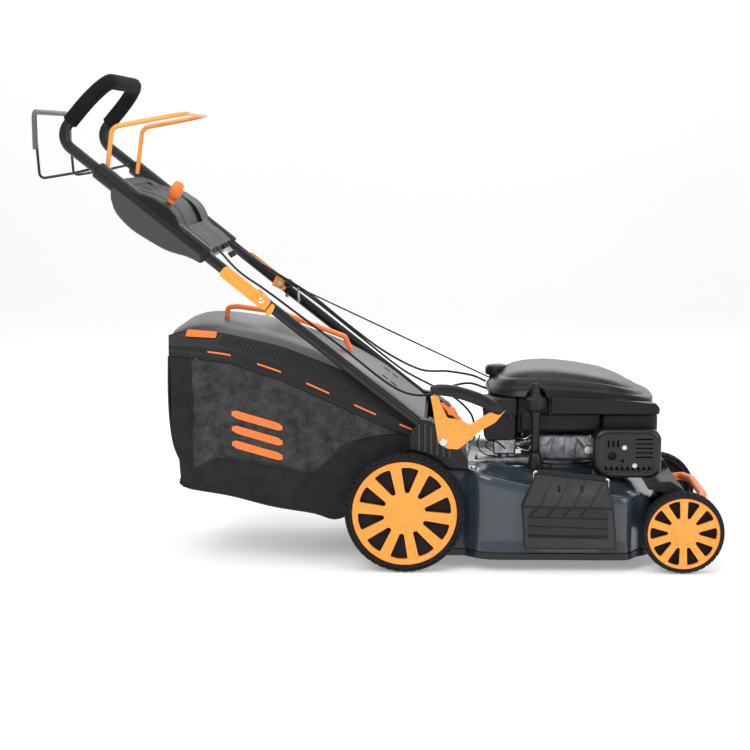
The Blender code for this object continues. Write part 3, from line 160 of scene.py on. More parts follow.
def finish(name, colour, rough, metal=0.0, coat=0.0, grain=0.0, grain_size=900.0, vary=0.12, patch=9.0,
           sheen=0.0,
           spec=0.4):
    """A Principled finish with fine grain in its bump and slow variation in its colour and roughness."""
    known = bpy.data.materials.get(name)
    if known:
        return known
    made = bpy.data.materials.new(name)
    made.use_nodes = True
    nodes, links = made.node_tree.nodes, made.node_tree.links
    shader = nodes["Principled BSDF"]
    shader.inputs["Metallic"].default_value = metal
    shader.inputs["Coat Weight"].default_value = coat
    shader.inputs["Coat Roughness"].default_value = 0.06
    shader.inputs["Sheen Weight"].default_value = sheen
    shader.inputs["Specular IOR Level"].default_value = spec
    place = nodes.new("ShaderNodeTexCoord")
    slow = nodes.new("ShaderNodeTexNoise")
    slow.inputs["Scale"].default_value = patch
    slow.inputs["Detail"].default_value = 5.0
    links.new(place.outputs["Object"], slow.inputs["Vector"])
    tone = nodes.new("ShaderNodeValToRGB")
    dark = [c * (1 - vary) for c in colour]
    light = [min(1.0, c * (1 + vary)) for c in colour]
    tone.color_ramp.elements[0].position = 0.3
    tone.color_ramp.elements[0].color = (*dark, 1)
    tone.color_ramp.elements[1].position = 0.7
    tone.color_ramp.elements[1].color = (*light, 1)
    links.new(slow.outputs["Fac"], tone.inputs["Fac"])
    links.new(tone.outputs["Color"], shader.inputs["Base Color"])
    gloss = nodes.new("ShaderNodeMapRange")
    gloss.inputs["To Min"].default_value = max(0.02, rough * 0.82)
    gloss.inputs["To Max"].default_value = min(1.0, rough * 1.18)
    links.new(slow.outputs["Fac"], gloss.inputs["Value"])
    links.new(gloss.outputs["Result"], shader.inputs["Roughness"])
    if grain:
        fine = nodes.new("ShaderNodeTexNoise")
        fine.inputs["Scale"].default_value = grain_size
        fine.inputs["Detail"].default_value = 3.0
        links.new(place.outputs["Object"], fine.inputs["Vector"])
        bump = nodes.new("ShaderNodeBump")
        bump.inputs["Strength"].default_value = grain
        bump.inputs["Distance"].default_value = 0.0006
        links.new(fine.outputs["Fac"], bump.inputs["Height"])
        links.new(bump.outputs["Normal"], shader.inputs["Normal"])
    return made


def cloth_finish(name, colour, open_colour, pitch, weave=0.32):
    """Woven cloth: two crossed waves give the threads, a slow noise gives the worn, dusty patches."""
    known = bpy.data.materials.get(name)
    if known:
        return known
    made = bpy.data.materials.new(name)
    made.use_nodes = True
    nodes, links = made.node_tree.nodes, made.node_tree.links
    shader = nodes["Principled BSDF"]
    shader.inputs["Roughness"].default_value = 0.85
    shader.inputs["Sheen Weight"].default_value = 0.06
    shader.inputs["Specular IOR Level"].default_value = 0.15
    place = nodes.new("ShaderNodeTexCoord")
    waves = []
    for turn in (0.0, math.pi / 2):
        swing = nodes.new("ShaderNodeMapping")
        swing.inputs["Rotation"].default_value = (0.0, turn, 0.0)
        links.new(place.outputs["Object"], swing.inputs["Vector"])
        wave = nodes.new("ShaderNodeTexWave")
        wave.inputs["Scale"].default_value = 0.314 / pitch
        wave.inputs["Distortion"].default_value = 0.6
        links.new(swing.outputs["Vector"], wave.inputs["Vector"])
        waves.append(wave)
    cross = nodes.new("ShaderNodeMath")
    cross.operation = "MULTIPLY"
    links.new(waves[0].outputs["Fac"], cross.inputs[0])
    links.new(waves[1].outputs["Fac"], cross.inputs[1])
    slow = nodes.new("ShaderNodeTexNoise")
    slow.inputs["Scale"].default_value = 34.0
    slow.inputs["Detail"].default_value = 9.0
    slow.inputs["Roughness"].default_value = 0.78
    links.new(place.outputs["Object"], slow.inputs["Vector"])
    tone = nodes.new("ShaderNodeValToRGB")
    tone.color_ramp.elements[0].position = 0.35
    tone.color_ramp.elements[0].color = (*colour, 1)
    tone.color_ramp.elements[1].position = 0.68
    tone.color_ramp.elements[1].color = (*open_colour, 1)
    links.new(slow.outputs["Fac"], tone.inputs["Fac"])
    thread = nodes.new("ShaderNodeMixRGB")
    thread.blend_type = "MULTIPLY"
    thread.inputs["Fac"].default_value = weave
    links.new(tone.outputs["Color"], thread.inputs["Color1"])
    links.new(cross.outputs["Value"], thread.inputs["Color2"])
    links.new(thread.outputs["Color"], shader.inputs["Base Color"])
    bump = nodes.new("ShaderNodeBump")
    bump.inputs["Strength"].default_value = 0.5
    bump.inputs["Distance"].default_value = 0.0008
    links.new(cross.outputs["Value"], bump.inputs["Height"])
    links.new(bump.outputs["Normal"], shader.inputs["Normal"])
    return made


def orange_plastic():
    return finish("orange plastic", colours().orange, 0.38, grain=0.05, vary=0.05, patch=4.0)


def flame_plastic():
    return finish("flame plastic", colours().flame, 0.38, grain=0.05, vary=0.05, patch=4.0)


def console_plastic():
    return finish("console plastic", (0.011, 0.011, 0.012), 0.5, grain=0.2, vary=0.15, spec=0.12)


def flap_plastic():
    return finish("flap plastic", (0.030, 0.0305, 0.032), 0.45, grain=0.2, vary=0.2, spec=0.3)


def belly_plastic():
    return finish("belly plastic", (0.050, 0.051, 0.054), 0.42, grain=0.06, vary=0.10, patch=5.0, spec=0.25)


def hot_steel():
    return finish("heat darkened steel", (0.030, 0.028, 0.027), 0.5, metal=0.4, grain=0.3, vary=0.3,
                  patch=30.0)


def orange_paint():
    return finish("orange paint", colours().orange, 0.3, coat=0.3, grain=0.03, vary=0.05, patch=6.0)


def deck_paint():
    return finish("deck paint", colours().deck, 0.24, coat=0.55, grain=0.03, grain_size=60.0, vary=0.08,
                  patch=5.0)


def black_plastic():
    return finish("black plastic", colours().black, 0.5, grain=0.35, vary=0.2, spec=0.3)


def smooth_black():
    return finish("smooth black", colours().black, 0.36, grain=0.05, vary=0.15, spec=0.3)


def grey_plastic():
    return finish("grey plastic", colours().grey, 0.30, coat=0.0, spec=0.22, grain=0.08, vary=0.08,
                  patch=5.0)


def black_paint():
    return finish("black paint", (0.006, 0.006, 0.007), 0.34, coat=0.15, grain=0.04, vary=0.2, spec=0.35)


def tyre_rubber():
    return finish("tyre rubber", (0.012, 0.012, 0.0125), 0.8, grain=0.4, grain_size=500.0, vary=0.25,
                  patch=20.0, spec=0.2)


def dark_web():
    return finish("wheel web", (0.014, 0.0135, 0.014), 0.7, grain=0.3, vary=0.2, spec=0.2)


def bright_steel():
    return finish("bright steel", (0.62, 0.62, 0.63), 0.24, metal=1.0, grain=0.05, vary=0.08, patch=30.0)


def cast_aluminium():
    return finish("cast aluminium", (0.33, 0.34, 0.36), 0.36, metal=0.9, grain=0.6, grain_size=260.0,
                  vary=0.45, patch=60.0)


def foam_rubber():
    return finish("foam rubber", (0.008, 0.008, 0.0085), 0.92, grain=0.8, grain_size=420.0, vary=0.3,
                  patch=30.0, spec=0.12)


def bail_sleeve():
    return finish("bail sleeve", colours().bail, 0.45, grain=0.1, vary=0.08)


def lid_plastic():
    return finish("lid plastic", colours().lid, 0.34, spec=0.22, coat=0.0, grain=0.03, grain_size=80.0,
                  vary=0.05, patch=4.0)


# ---- mesh work --------------------------------------------------------------------------
def put(name, bm, mats, body, slot, stands_for=(), sharp=35, weld=True):
    """Makes a finished piece of a bmesh: shading, finish, body and the nodes it stands for."""
    if weld:
        bmesh.ops.remove_doubles(bm, verts=bm.verts, dist=0.00002)
    bmesh.ops.recalc_face_normals(bm, faces=bm.faces)
    mesh = bpy.data.meshes.new(name)
    bm.to_mesh(mesh)
    bm.free()
    mats = mats if isinstance(mats, (list, tuple)) else [mats]
    for mat in mats:
        mesh.materials.append(mat)
    mesh.shade_smooth()
    mesh.set_sharp_from_angle(angle=math.radians(sharp))
    obj = bpy.data.objects.new(name, mesh)
    bpy.context.collection.objects.link(obj)
    if body:
        fit(obj, body, slot)
    if stands_for:
        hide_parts(*([stands_for] if isinstance(stands_for, str) else stands_for))
    return obj


def reshade(obj, angle):
    """Smooth shading with edges sharper than the angle, in degrees, left crisp."""
    obj.data.shade_smooth()
    obj.data.set_sharp_from_angle(angle=math.radians(angle))


def fit(obj, body, slot, *nodes):
    """The piece rides on a body and stands for the nodes, if there are any; its slot is not used."""
    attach(obj, body)
    if nodes:
        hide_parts(*nodes)


def soften(obj, width, segments=2, angle=35):
    mod = obj.modifiers.new("Bevel", "BEVEL")
    mod.width = width
    mod.segments = segments
    mod.limit_method = "ANGLE"
    mod.angle_limit = math.radians(angle)
    mod.harden_normals = False
    return obj


def settle(obj):
    """Applies an object's modifiers to its own mesh."""
    seen = obj.evaluated_get(bpy.context.evaluated_depsgraph_get())
    mesh = bpy.data.meshes.new_from_object(seen)
    obj.modifiers.clear()
    obj.data = mesh
    return obj


def carve(obj, cutters, operation="DIFFERENCE"):
    """Cuts guides out of an object, or joins them on, and throws the guides away."""
    for k, cutter in enumerate(cutters):
        mod = obj.modifiers.new(f"Cut {k}", "BOOLEAN")
        mod.operation = operation
        mod.solver = "EXACT"
        mod.object = cutter
    bpy.context.view_layer.update()
    settle(obj)
    for cutter in cutters:
        bpy.data.objects.remove(cutter, do_unlink=True)
    return obj


def guide(bm):
    """A bare object to cut with."""
    return put("guide", bm, [], None, None)


def skin(rings, closed=False, caps=True, bm=None, material=0):
    bm = bm or bmesh.new()
    rows = [[bm.verts.new(p) for p in ring] for ring in rings]
    count = len(rows[0])
    pairs = list(zip(rows, rows[1:]))
    if closed:
        pairs.append((rows[-1], rows[0]))
    for one, two in pairs:
        for i in range(count):
            j = (i + 1) % count
            face = bm.faces.new((one[i], one[j], two[j], two[i]))
            face.material_index = material
    if caps and not closed:
        for row in (rows[0], rows[-1]):
            face = bm.faces.new(row)
            face.material_index = material
    return bm


def turned(profile, axis, centre, segments=64, bm=None, material=0):
    """Spins a closed profile of (radius, along) about an axis; radius 0 is a pole."""
    bm = bm or bmesh.new()
    x, y, z = centre
    rows = []
    for radius, along in profile:
        row = []
        for i in range(1 if radius == 0 else segments):
            a = 2 * math.pi * i / segments
            c, s = radius * math.cos(a), radius * math.sin(a)
            spot = {"X": (along, c, s), "Y": (s, along, c), "Z": (c, s, along)}[axis]
            row.append(bm.verts.new((x + spot[0], y + spot[1], z + spot[2])))
        rows.append(row)
    for one, two in zip(rows, rows[1:] + rows[:1]):
        if len(one) == 1 and len(two) == 1:
            continue
        for i in range(segments):
            j = (i + 1) % segments
            face = [one[i % len(one)], one[j % len(one)], two[j % len(two)], two[i % len(two)]]
            face = bm.faces.new(list(dict.fromkeys(face)))
            face.material_index = material
    return bm


def rod(radius, a, b):
    return [(0, a), (radius, a), (radius, b), (0, b)]


def button(radius, a, b, edge):
    """A rod profile whose far end has a rounded edge."""
    return [(0, a), (radius, a), (radius, b - edge), (radius - edge * 0.3, b - edge * 0.3),
            (radius - edge, b), (0, b)]


def rounded(points, radii, steps=8):
    """A polyline whose inner corners are arcs of the given radii."""
    points = [Vector(p) for p in points]
    path = [points[0]]
    for k in range(1, len(points) - 1):
        before, corner, after = points[k - 1], points[k], points[k + 1]
        one, two = (before - corner).normalized(), (after - corner).normalized()
        half = one.angle(two) / 2
        radius = radii if isinstance(radii, float) else radii[k - 1]
        reach = radius / math.tan(half)
        hub = corner + (one + two).normalized() * (radius / math.sin(half))
        start, end = corner + one * reach - hub, corner + two * reach - hub
        turn = start.rotation_difference(end)
        for i in range(steps + 1):
            step = turn.copy()
            step.angle = turn.angle * i / steps
            path.append(hub + step @ start)
    path.append(points[-1])
    return path


def flowing(points, step, loop=False, count=None):
    """Points about `step` apart on a Catmull-Rom curve through `points`, or `count` to each span."""
    points = [Vector(p) for p in points]
    if loop:
        ends = [points[-1], *points, points[0], points[1]]
    else:
        ends = [2 * points[0] - points[1], *points, 2 * points[-1] - points[-2]]
    route = []
    for a, b, c, d in zip(ends, ends[1:], ends[2:], ends[3:]):
        spans = count or max(1, round((c - b).length / step))
        for i in range(spans):
            t = i / spans
            route.append(0.5 * (2 * b + (c - a) * t + (2 * a - 5 * b + 4 * c - d) * t * t
                                + (3 * b - a - 3 * c + d) * t ** 3))
    if not loop:
        route.append(points[-1])
    return route


def swept_rings(path, sections):
    rings = []
    across = None
    for k, point in enumerate(path):
        steps = [b - a for a, b in zip(path[max(k - 1, 0):k + 1], path[max(k - 1, 0) + 1:k + 2])]
        ahead = sum((s.normalized() for s in steps), Vector()).normalized()
        if across is None:
            across = Vector((0, 1, 0)) if abs(ahead.y) < 0.9 else Vector((0, 0, 1))
        across = (across - ahead * across.dot(ahead)).normalized()
        up = ahead.cross(across)
        rings.append([point + across * u + up * v for u, v in sections[k]])
    return rings


def circle(radius, sides, wide=1.0):
    return [(wide * radius * math.cos(2 * math.pi * i / sides),
             radius * math.sin(2 * math.pi * i / sides)) for i in range(sides)]


def tube(path, radius, sides=None, bm=None, material=0, wide=1.0):
    """A round bar along a path, with slightly rounded ends."""
    sides = sides or sizes().tube_sides
    path = [Vector(p) for p in path]
    radii = list(radius) if isinstance(radius, (list, tuple)) else [radius] * len(path)
    first, last = (path[1] - path[0]).normalized(), (path[-1] - path[-2]).normalized()
    lip = min(radii[0], radii[-1]) * 0.18
    path = [path[0], path[0] + first * lip, *path[1:-1], path[-1] - last * lip, path[-1]]
    radii = [radii[0] - lip, radii[0], *radii[1:-1], radii[-1], radii[-1] - lip]
    return skin(swept_rings(path, [circle(r, sides, wide) for r in radii]), bm=bm, material=material)


def prism(outline, y0, y1, bm=None, material=0):
    return skin([[(x + SHIFT, y, z) for x, z in outline] for y in (y0, y1)], bm=bm, material=material)


def block(x0, x1, y0, y1, z0, z1, bm=None, material=0):
    return prism([(x0, z0), (x1, z0), (x1, z1), (x0, z1)], y0, y1, bm, material)


def arc2(points, radius, steps=5):
    """A closed X, Z outline with every corner rounded."""
    done = []
    count = len(points)
    for k in range(count):
        a, b, c = (Vector(points[(k + d) % count]) for d in (-1, 0, 1))
        one, two = (a - b), (c - b)
        r = min(radius, one.length * 0.45, two.length * 0.45)
        start, end = b + one.normalized() * r, b + two.normalized() * r
        for i in range(steps + 1):
            t = i / steps
            done.append((1 - t) ** 2 * start + 2 * t * (1 - t) * b + t * t * end)
    return done


def bolt_head(bm, centre, axis, radius=0.006, height=0.004, material=0, sides=6):
    return turned([(0, 0), (radius, 0), (radius, height * 0.75), (radius * 0.82, height), (0, height)],
                  axis, centre, sides, bm, material)


# ---- wheels -----------------------------------------------------------------------------
def make_tyre(end, side, lugs):
    node = f"{end}_tyre_{side}"
    sign = 1 if side == "L" else -1
    lo, hi = low(node), high(node)
    centre = middle(node)
    radius = (hi.z - lo.z) / 2 - 0.0006
    wide = hi.y - lo.y
    face = hi.y if sign > 0 else lo.y
    seat = (high(f"{end}_disc_{side}").z - low(f"{end}_disc_{side}").z) / 2 + 0.0015
    base = radius - sizes().lug_height
    hub, web, bore = 0.020, 0.021, 0.0066
    profile = [(bore, -wide), (hub, -wide), (hub + 0.002, -web - 0.010), (seat - 0.014, -web - 0.006),
               (seat - 0.010, -wide + 0.006), (seat - 0.006, -wide + 0.001),
               (base - 0.010, -wide + 0.0008), (base - 0.004, -wide + 0.004),
               (base - 0.0005, -wide + 0.011), (base, -wide / 2), (base - 0.0005, -0.011),
               (base - 0.004, -0.004), (base - 0.010, -0.0008), (seat + 0.004, -0.0012),
               (seat + 0.001, -0.003), (seat, -0.006), (seat, -web + 0.003), (seat - 0.006, -web),
               (bore, -web)]
    origin = Vector((centre.x, face, centre.z))
    bm = turned([(r, a * sign) for r, a in profile], "Y", origin, 96)
    for face_ in bm.faces:
        far = (face_.calc_center_median() - origin)
        face_.material_index = 1 if math.hypot(far.x, far.z) < seat - 0.002 else 0
    pitch = 2 * math.pi / lugs
    rows = ((-0.002, -0.0155), (-0.018, -0.027), (-wide + 0.0155, -wide + 0.002))
    for k in range(lugs):
        for row, (a0, a1) in enumerate(rows):
            turn = pitch * (k + (0.5 if row == 1 else 0.0))
            edge = row != 1
            lug = []
            for along, lean in ((a0, 0.10), (a1, -0.10)):
                for swing in (-0.37, 0.37):
                    a = turn + pitch * (swing + lean * (1 if row < 2 else -1))
                    outer = radius - (0.0022 if edge and along in (rows[0][0], rows[2][1]) else 0.0)
                    for r in (base - 0.004, outer):
                        lug.append(bm.verts.new(origin
                                                + Vector((r * math.sin(a), along * sign, r * math.cos(a)))))
            a, b, c, d, e, f, g, h = lug
            for quad in ((a, b, d, c), (e, g, h, f), (a, e, f, b), (c, d, h, g), (b, f, h, d),
                         (a, c, g, e)):
                bm.faces.new(quad)
    put(f"tyre_{end}_{side}", bm, [tyre_rubber(), dark_web()], f"{end}_wheel_{side}", "tyre", node,
        sharp=40, weld=False)


def make_disc(end, side):
    node = f"{end}_disc_{side}"
    sign = 1 if side == "L" else -1
    lo, hi = low(node), high(node)
    centre = middle(node)
    radius = (hi.z - lo.z) / 2
    face = (high if sign > 0 else low)(f"{end}_tyre_{side}").y
    origin = Vector((centre.x, face, centre.z))
    hub = 0.030 if end == "rear" else 0.026
    profile = [(0, -0.0125), (radius - 0.0006, -0.0125), (radius - 0.0002, -0.0035),
               (radius - 0.002, -0.0012), (radius * 0.955, -0.0010), (radius * 0.93, -0.0028),
               (radius * 0.90, -0.0046), (hub * 1.30, -0.0052), (hub * 1.12, -0.0048),
               (hub * 1.0, -0.0026), (hub * 0.7, -0.0013), (hub * 0.3, -0.0009), (0, -0.0008)]
    disc = put(f"disc_{end}_{side}", turned([(r, a * sign) for r, a in profile], "Y", origin, 96),
               orange_plastic(), None, None)
    count = sizes().openings
    outer, inner = radius * 0.885, radius * (0.395 if end == "rear" else 0.41)
    mouth = 2 * math.pi / count * 0.62 * outer
    tip = mouth * 0.22
    cutters = []
    for k in range(count):
        a = 2 * math.pi * (k + (0.20 if end == "rear" else 0.5)) / count
        away, aside = Vector((math.sin(a), math.cos(a))), Vector((math.cos(a), -math.sin(a)))
        shape = [Vector((-mouth / 2, outer * 0.985)), Vector((0, outer * 1.012)),
                 Vector((mouth / 2, outer * 0.985)), Vector((tip / 2, inner)), Vector((-tip / 2, inner))]
        corners = arc2(shape, 0.0055, 4)
        rings = []
        for depth in (-0.05, 0.01):
            rings.append([origin + Vector((away.x * p.y + aside.x * p.x, depth * sign,
                                           away.y * p.y + aside.y * p.x)) for p in corners])
        cutters.append(guide(skin(rings)))
    carve(disc, cutters)
    reshade(disc, 30)
    soften(disc, 0.0009, 2, 30)
    fit(disc, f"{end}_wheel_{side}", "orange", node)


# ---- deck -------------------------------------------------------------------------------
DECK_REAR_X, DECK_FRONT_X = -0.035, 0.612
DECK_WALL = 0.0025
CRANK_X = 0.37
FLAP_REAR, FLAP_FRONT = (0.305, 0.236), (0.462, 0.219)     # X, Z of the flap hinge's ends
FLAP_HINGE_Y = -0.240
SHOULDER = [(DECK_REAR_X, 0.243), (0.13, 0.239), (0.19, 0.227), (0.29, 0.204), (0.40, 0.190),
            (0.50, 0.180), (DECK_FRONT_X, 0.158)]


def deck_plan(inset):
    """The deck's outline in plan, pulled in by `inset`, as a closed smooth curve."""
    rear, front, beside, half = DECK_REAR_X + inset, DECK_FRONT_X - inset, 0.205 - inset, 0.245 - inset
    side = [(rear, 0.07), (rear, 0.14), (rear + 0.004, beside - 0.012), (rear + 0.020, beside),
            (0.05, beside), (0.125 - inset * 0.5, beside), (0.146, beside + 0.006), (0.168, half - 0.014),
            (0.195, half - 0.003), (0.23, half), (0.30, half), (0.40, half), (0.48, half),
            (0.515, half - 0.006), (0.538, beside + 0.004), (0.560, beside - 0.012),
            (0.582 - inset * 0.5, 0.160 - inset), (0.603 - inset, 0.095 - inset), (front, 0.035)]
    points = [Vector((x, y)) for x, y in side] + [Vector((x, -y)) for x, y in reversed(side)]
    plan = flowing([(p.x, p.y, 0) for p in points], 0.012, loop=True, count=4)
    return plan


def deck_rings(wall):
    flange = 0.006
    levels = [(-flange, 0.030), (-flange, 0.0335), (-flange + 0.002, 0.036), (-0.001, 0.0375),
              (0.0, 0.041), (0.0, 0.062), (0.0012, 0.066), (0.0012, 0.10)]
    rings = []
    for inset, z in levels:
        rings.append([at(p.x, p.y, z) for p in deck_plan(inset + wall)])
    for inset, fall in ((0.0015, 0.040), (0.0020, 0.020), (0.0035, 0.0105), (0.0065, 0.0045),
                        (0.0105, 0.0012), (0.016, 0.0)):
        rings.append([at(p.x, p.y, at_x(SHOULDER, p.x) - fall - wall) for p in deck_plan(inset + wall)])
    last = rings[-1]
    crank = at(CRANK_X, 0, 0)
    for share, lift in ((0.88, 0.001), (0.80, 0.003), (0.72, 0.011), (0.60, 0.0145), (0.48, 0.0135),
                        (0.38, 0.004),
                        (0.24, 0.001), (0.06, 0.0)):
        ring = []
        for p in last:
            way = Vector((p.x - crank.x, p.y - crank.y))
            far = way.length
            reach = 0.112 + (far - 0.112) * share
            flat = 0.2135
            z = flat + (p.z + wall - flat) * share + lift - wall
            way.normalize()
            ring.append(Vector((crank.x + way.x * reach, crank.y + way.y * reach, z)))
        rings.append(ring)
    for radius, z in ((0.106, 0.2137), (0.099, 0.2165), (0.097, 0.2235), (0.094, 0.2240), (0.031, 0.2240)):
        rings.append([Vector((crank.x + radius * w.x, crank.y + radius * w.y, z - wall))
                      for w in ((Vector((p.x - crank.x, p.y - crank.y))).normalized() for p in last)])
    return rings


def make_deck():
    outer = deck_rings(0.0)
    inner = deck_rings(DECK_WALL)[4:]
    floor = [Vector((p.x, p.y, 0.030)) for p in inner[0]]
    deck = put("deck", skin(outer + inner[::-1] + [floor], closed=True), deck_paint(), None, None, sharp=50)
    mouth = guide(block(0.300, 0.455, -0.30, -0.20, 0.062, 0.150))
    rear = guide(block(-0.08, 0.0, -0.13, 0.13, 0.163, 0.222))
    bore = guide(turned(rod(0.0072, -0.3, 0.3), "Y", REAR_AXLE, 24))
    carve(deck, [mouth, rear, bore])
    reshade(deck, 50)
    fit(deck, "chassis", "deck_paint", "deck_shell")
    # The lip band is painted black: painted shade along the deck's lower edge, under its flange.
    levels = ((-0.0068, 0.0305), (-0.0068, 0.0450), (-0.0030, 0.0460), (-0.0030, 0.0305))
    band = skin([[at(p.x, p.y, z) for p in deck_plan(inset)] for inset, z in levels], closed=True)
    put("deck_lip_painted_shade", band, black_paint(), "chassis", "black_paint")
    rear_pt, front_pt, hinge_y = FLAP_REAR, FLAP_FRONT, FLAP_HINGE_Y
    wire = [at(rear_pt[0] - 0.007, hinge_y + 0.018, at_x(SHOULDER, rear_pt[0]) - 0.003),
            at(rear_pt[0] - 0.007, hinge_y, rear_pt[1] + 0.0008),
            at(front_pt[0] + 0.007, hinge_y, front_pt[1] - 0.0008),
            at(front_pt[0] + 0.007, hinge_y + 0.018, at_x(SHOULDER, front_pt[0]) - 0.003)]
    put("flap_hinge_wire", tube(rounded(wire, 0.0045, 5), 0.0030, 14), bright_steel(), "chassis", "steel")
    bm = bmesh.new()
    for x, y in ((0.16, -0.19), (0.52, -0.19), (0.52, 0.19), (0.22, 0.205)):
        bolt_head(bm, at(x, y, at_x(SHOULDER, x) - 0.001), "Z", 0.007, 0.006)
    put("deck_bolts", bm, bright_steel(), "chassis", "steel")


def make_flap():
    """Side discharge flap: a framed panel with louvres, sloping top with diagonal ribs and two slots."""
    rear, front, hinge_y, out = FLAP_REAR, FLAP_FRONT, FLAP_HINGE_Y, -0.2615
    bm = bmesh.new()
    thick = 0.003
    rows = [(rear, front, hinge_y), ((0.272, 0.162), (0.478, 0.158), out),
            ((0.270, 0.150), (0.480, 0.146), out), ((0.278, 0.060), (0.486, 0.060), out)]
    rings = []
    for depth, order in ((0.0, rows), (thick, rows[::-1])):
        for a, b, y in order:
            rings.append([at(a[0], y + depth, a[1]), at(b[0], y + depth, b[1])])
    grid = [[bm.verts.new(p) for p in ring] for ring in rings]
    for one, two in zip(grid, grid[1:] + grid[:1]):
        bm.faces.new((one[0], one[1], two[1], two[0]))
    half = len(rows)
    for side in (0, 1):
        for k in range(half - 1):
            bm.faces.new([grid[k][side], grid[k + 1][side], grid[2 * half - 2 - k][side],
                          grid[2 * half - 1 - k][side]])
    panel = put("flap_panel", bm, flap_plastic(), None, None)
    window = [(0.2835, 0.084), (0.466, 0.084), (0.466, 0.139), (0.456, 0.1535), (0.294, 0.1535),
              (0.2835, 0.141)]
    louvres = [guide(prism(arc2(window, 0.003, 3), out - 0.01, out + 0.0022))]
    for x in (0.352, 0.405):
        louvres.append(guide(block(x, x + 0.006, -0.30, -0.20, 0.190, 0.205)))
    carve(panel, louvres)
    fit(panel, "discharge_flap", "black_plastic")
    soften(panel, 0.0007, 1, 40)
    bm = bmesh.new()
    tube([at(rear[0], hinge_y, rear[1]), at(front[0], hinge_y, front[1])], 0.0060, 18, bm)
    frame_z = [(0.272, 0.158), (0.278, 0.060), (0.486, 0.060), (0.478, 0.154)]
    edge = [at(x, out + 0.0005, z) for x, z in [rear, *frame_z, front]]
    edge[0].y = edge[-1].y = hinge_y
    tube(edge, 0.0022, 8, bm)
    tube([at(0.272, out, 0.158), at(0.478, out, 0.154)], 0.0022, 8, bm)
    for k in range(3):
        z0 = 0.133 - 0.0205 * k
        tube([at(0.281, out + 0.0008, z0), at(0.470, out + 0.0008, z0 - 0.004 - 0.003 * k)], 0.0011, 8, bm)
    for k in range(6):
        tube([at(0.2835, out + 0.0016, 0.087 + 0.0008 * k), at(0.466, out + 0.0016, 0.087 + 0.0008 * k)],
             0.0005, 6, bm)
    for x in (0.312, 0.350, 0.388, 0.426):
        foot, knee = at(x - 0.022, out + 0.0002, 0.136), at(x, out - 0.0004, 0.160)
        head = at(x + 0.034, hinge_y, at_x([rear, front], x + 0.034))
        tube([foot, knee, knee.lerp(head, 0.93)], 0.0016, 8, bm)
    put("flap_ribs", bm, smooth_black(), "discharge_flap", "black_plastic", "discharge_flap")
    panel.name = "discharge_flap_panel"
    # The black sheet at the bottom of the louvred recess is painted shade in the recess.
    window = [(0.284, 0.0845), (0.4655, 0.0845), (0.4655, 0.139), (0.4555, 0.153), (0.2945, 0.153),
              (0.284, 0.141)]
    recess_shade_sheet = prism(arc2(window, 0.003, 3), out + 0.0019, out + 0.0028)
    put("flap_window_painted_shade", recess_shade_sheet, black_paint(), "discharge_flap", "black_plastic")


def make_front_end():
    """Axle housing with rounded shoulders, and the orange lift bar in front of it."""
    outline = [(0.558, 0.190), (0.585, 0.206), (0.615, 0.208), (0.648, 0.186), (0.664, 0.150),
               (0.666, 0.0745), (0.6225, 0.0745), (0.6157, 0.100), (0.6157, 0.172), (0.598, 0.181)]
    half = 0.2108
    body = put("axle_housing", prism(arc2(outline, 0.008, 4), -half, half), black_plastic(), None, None)
    dip = guide(prism(arc2([(0.50, 0.172), (0.655, 0.172), (0.68, 0.26), (0.50, 0.26)], 0.004, 2), -0.13,
                      0.13))
    bore = guide(turned(rod(0.0066, -0.3, 0.3), "Y", FRONT_AXLE, 24))
    carve(body, [dip, bore])
    reshade(body, 35)
    soften(body, 0.003, 3, 40)
    fit(body, "chassis", "black_plastic", "front_axle_housing")
    bar = [at(0.6655, -0.155, 0.142), at(0.692, -0.155, 0.146), at(0.708, -0.09, 0.150),
           at(0.708, 0.09, 0.150), at(0.692, 0.155, 0.146), at(0.6655, 0.155, 0.142)]
    put("lift_bar", tube(rounded(bar, [0.014, 0.05, 0.05, 0.014], 8), 0.0098, 24), flame_plastic(),
        "chassis", "orange", "front_lift_bar")


# ---- engine -----------------------------------------------------------------------------
HOOD_REAR, HOOD_FRONT, HOOD_HALF = 0.187, 0.590, 0.172
CROWN = [(0.187, 0.432), (0.205, 0.444), (0.25, 0.4540), (0.30, 0.4570), (0.343, 0.4572), (0.40, 0.4515),
         (0.47, 0.4395), (0.51, 0.427), (0.55, 0.411), (0.575, 0.398), (0.590, 0.388)]


def crown_height(x):
    """Height of the hood's crown, smoothed between its points."""
    span = 0.018
    return sum(at_x(CROWN, x + span * k / 3) for k in range(-3, 4)) / 7


def hood_ring(share, wall, z=None, lift=0.0):
    centre = (HOOD_REAR + HOOD_FRONT) / 2
    long_half, wide_half = (HOOD_FRONT - HOOD_REAR) / 2 - wall, HOOD_HALF - wall
    count = 120
    ring = []
    for i in range(count):
        a = 2 * math.pi * i / count
        c, s = math.cos(a), math.sin(a)
        power = 2 / 3.4
        x = centre + share * long_half * math.copysign(abs(c) ** power, c)
        y = share * wide_half * math.copysign(abs(s) ** power, s)
        edge = 0.384
        if z is None:
            level = edge + (crown_height(x) - 0.0006 - edge) * (1 - share ** 5.0) ** 0.62 - wall + lift
        else:
            level = z
        ring.append(at(x, y, level))
    return ring


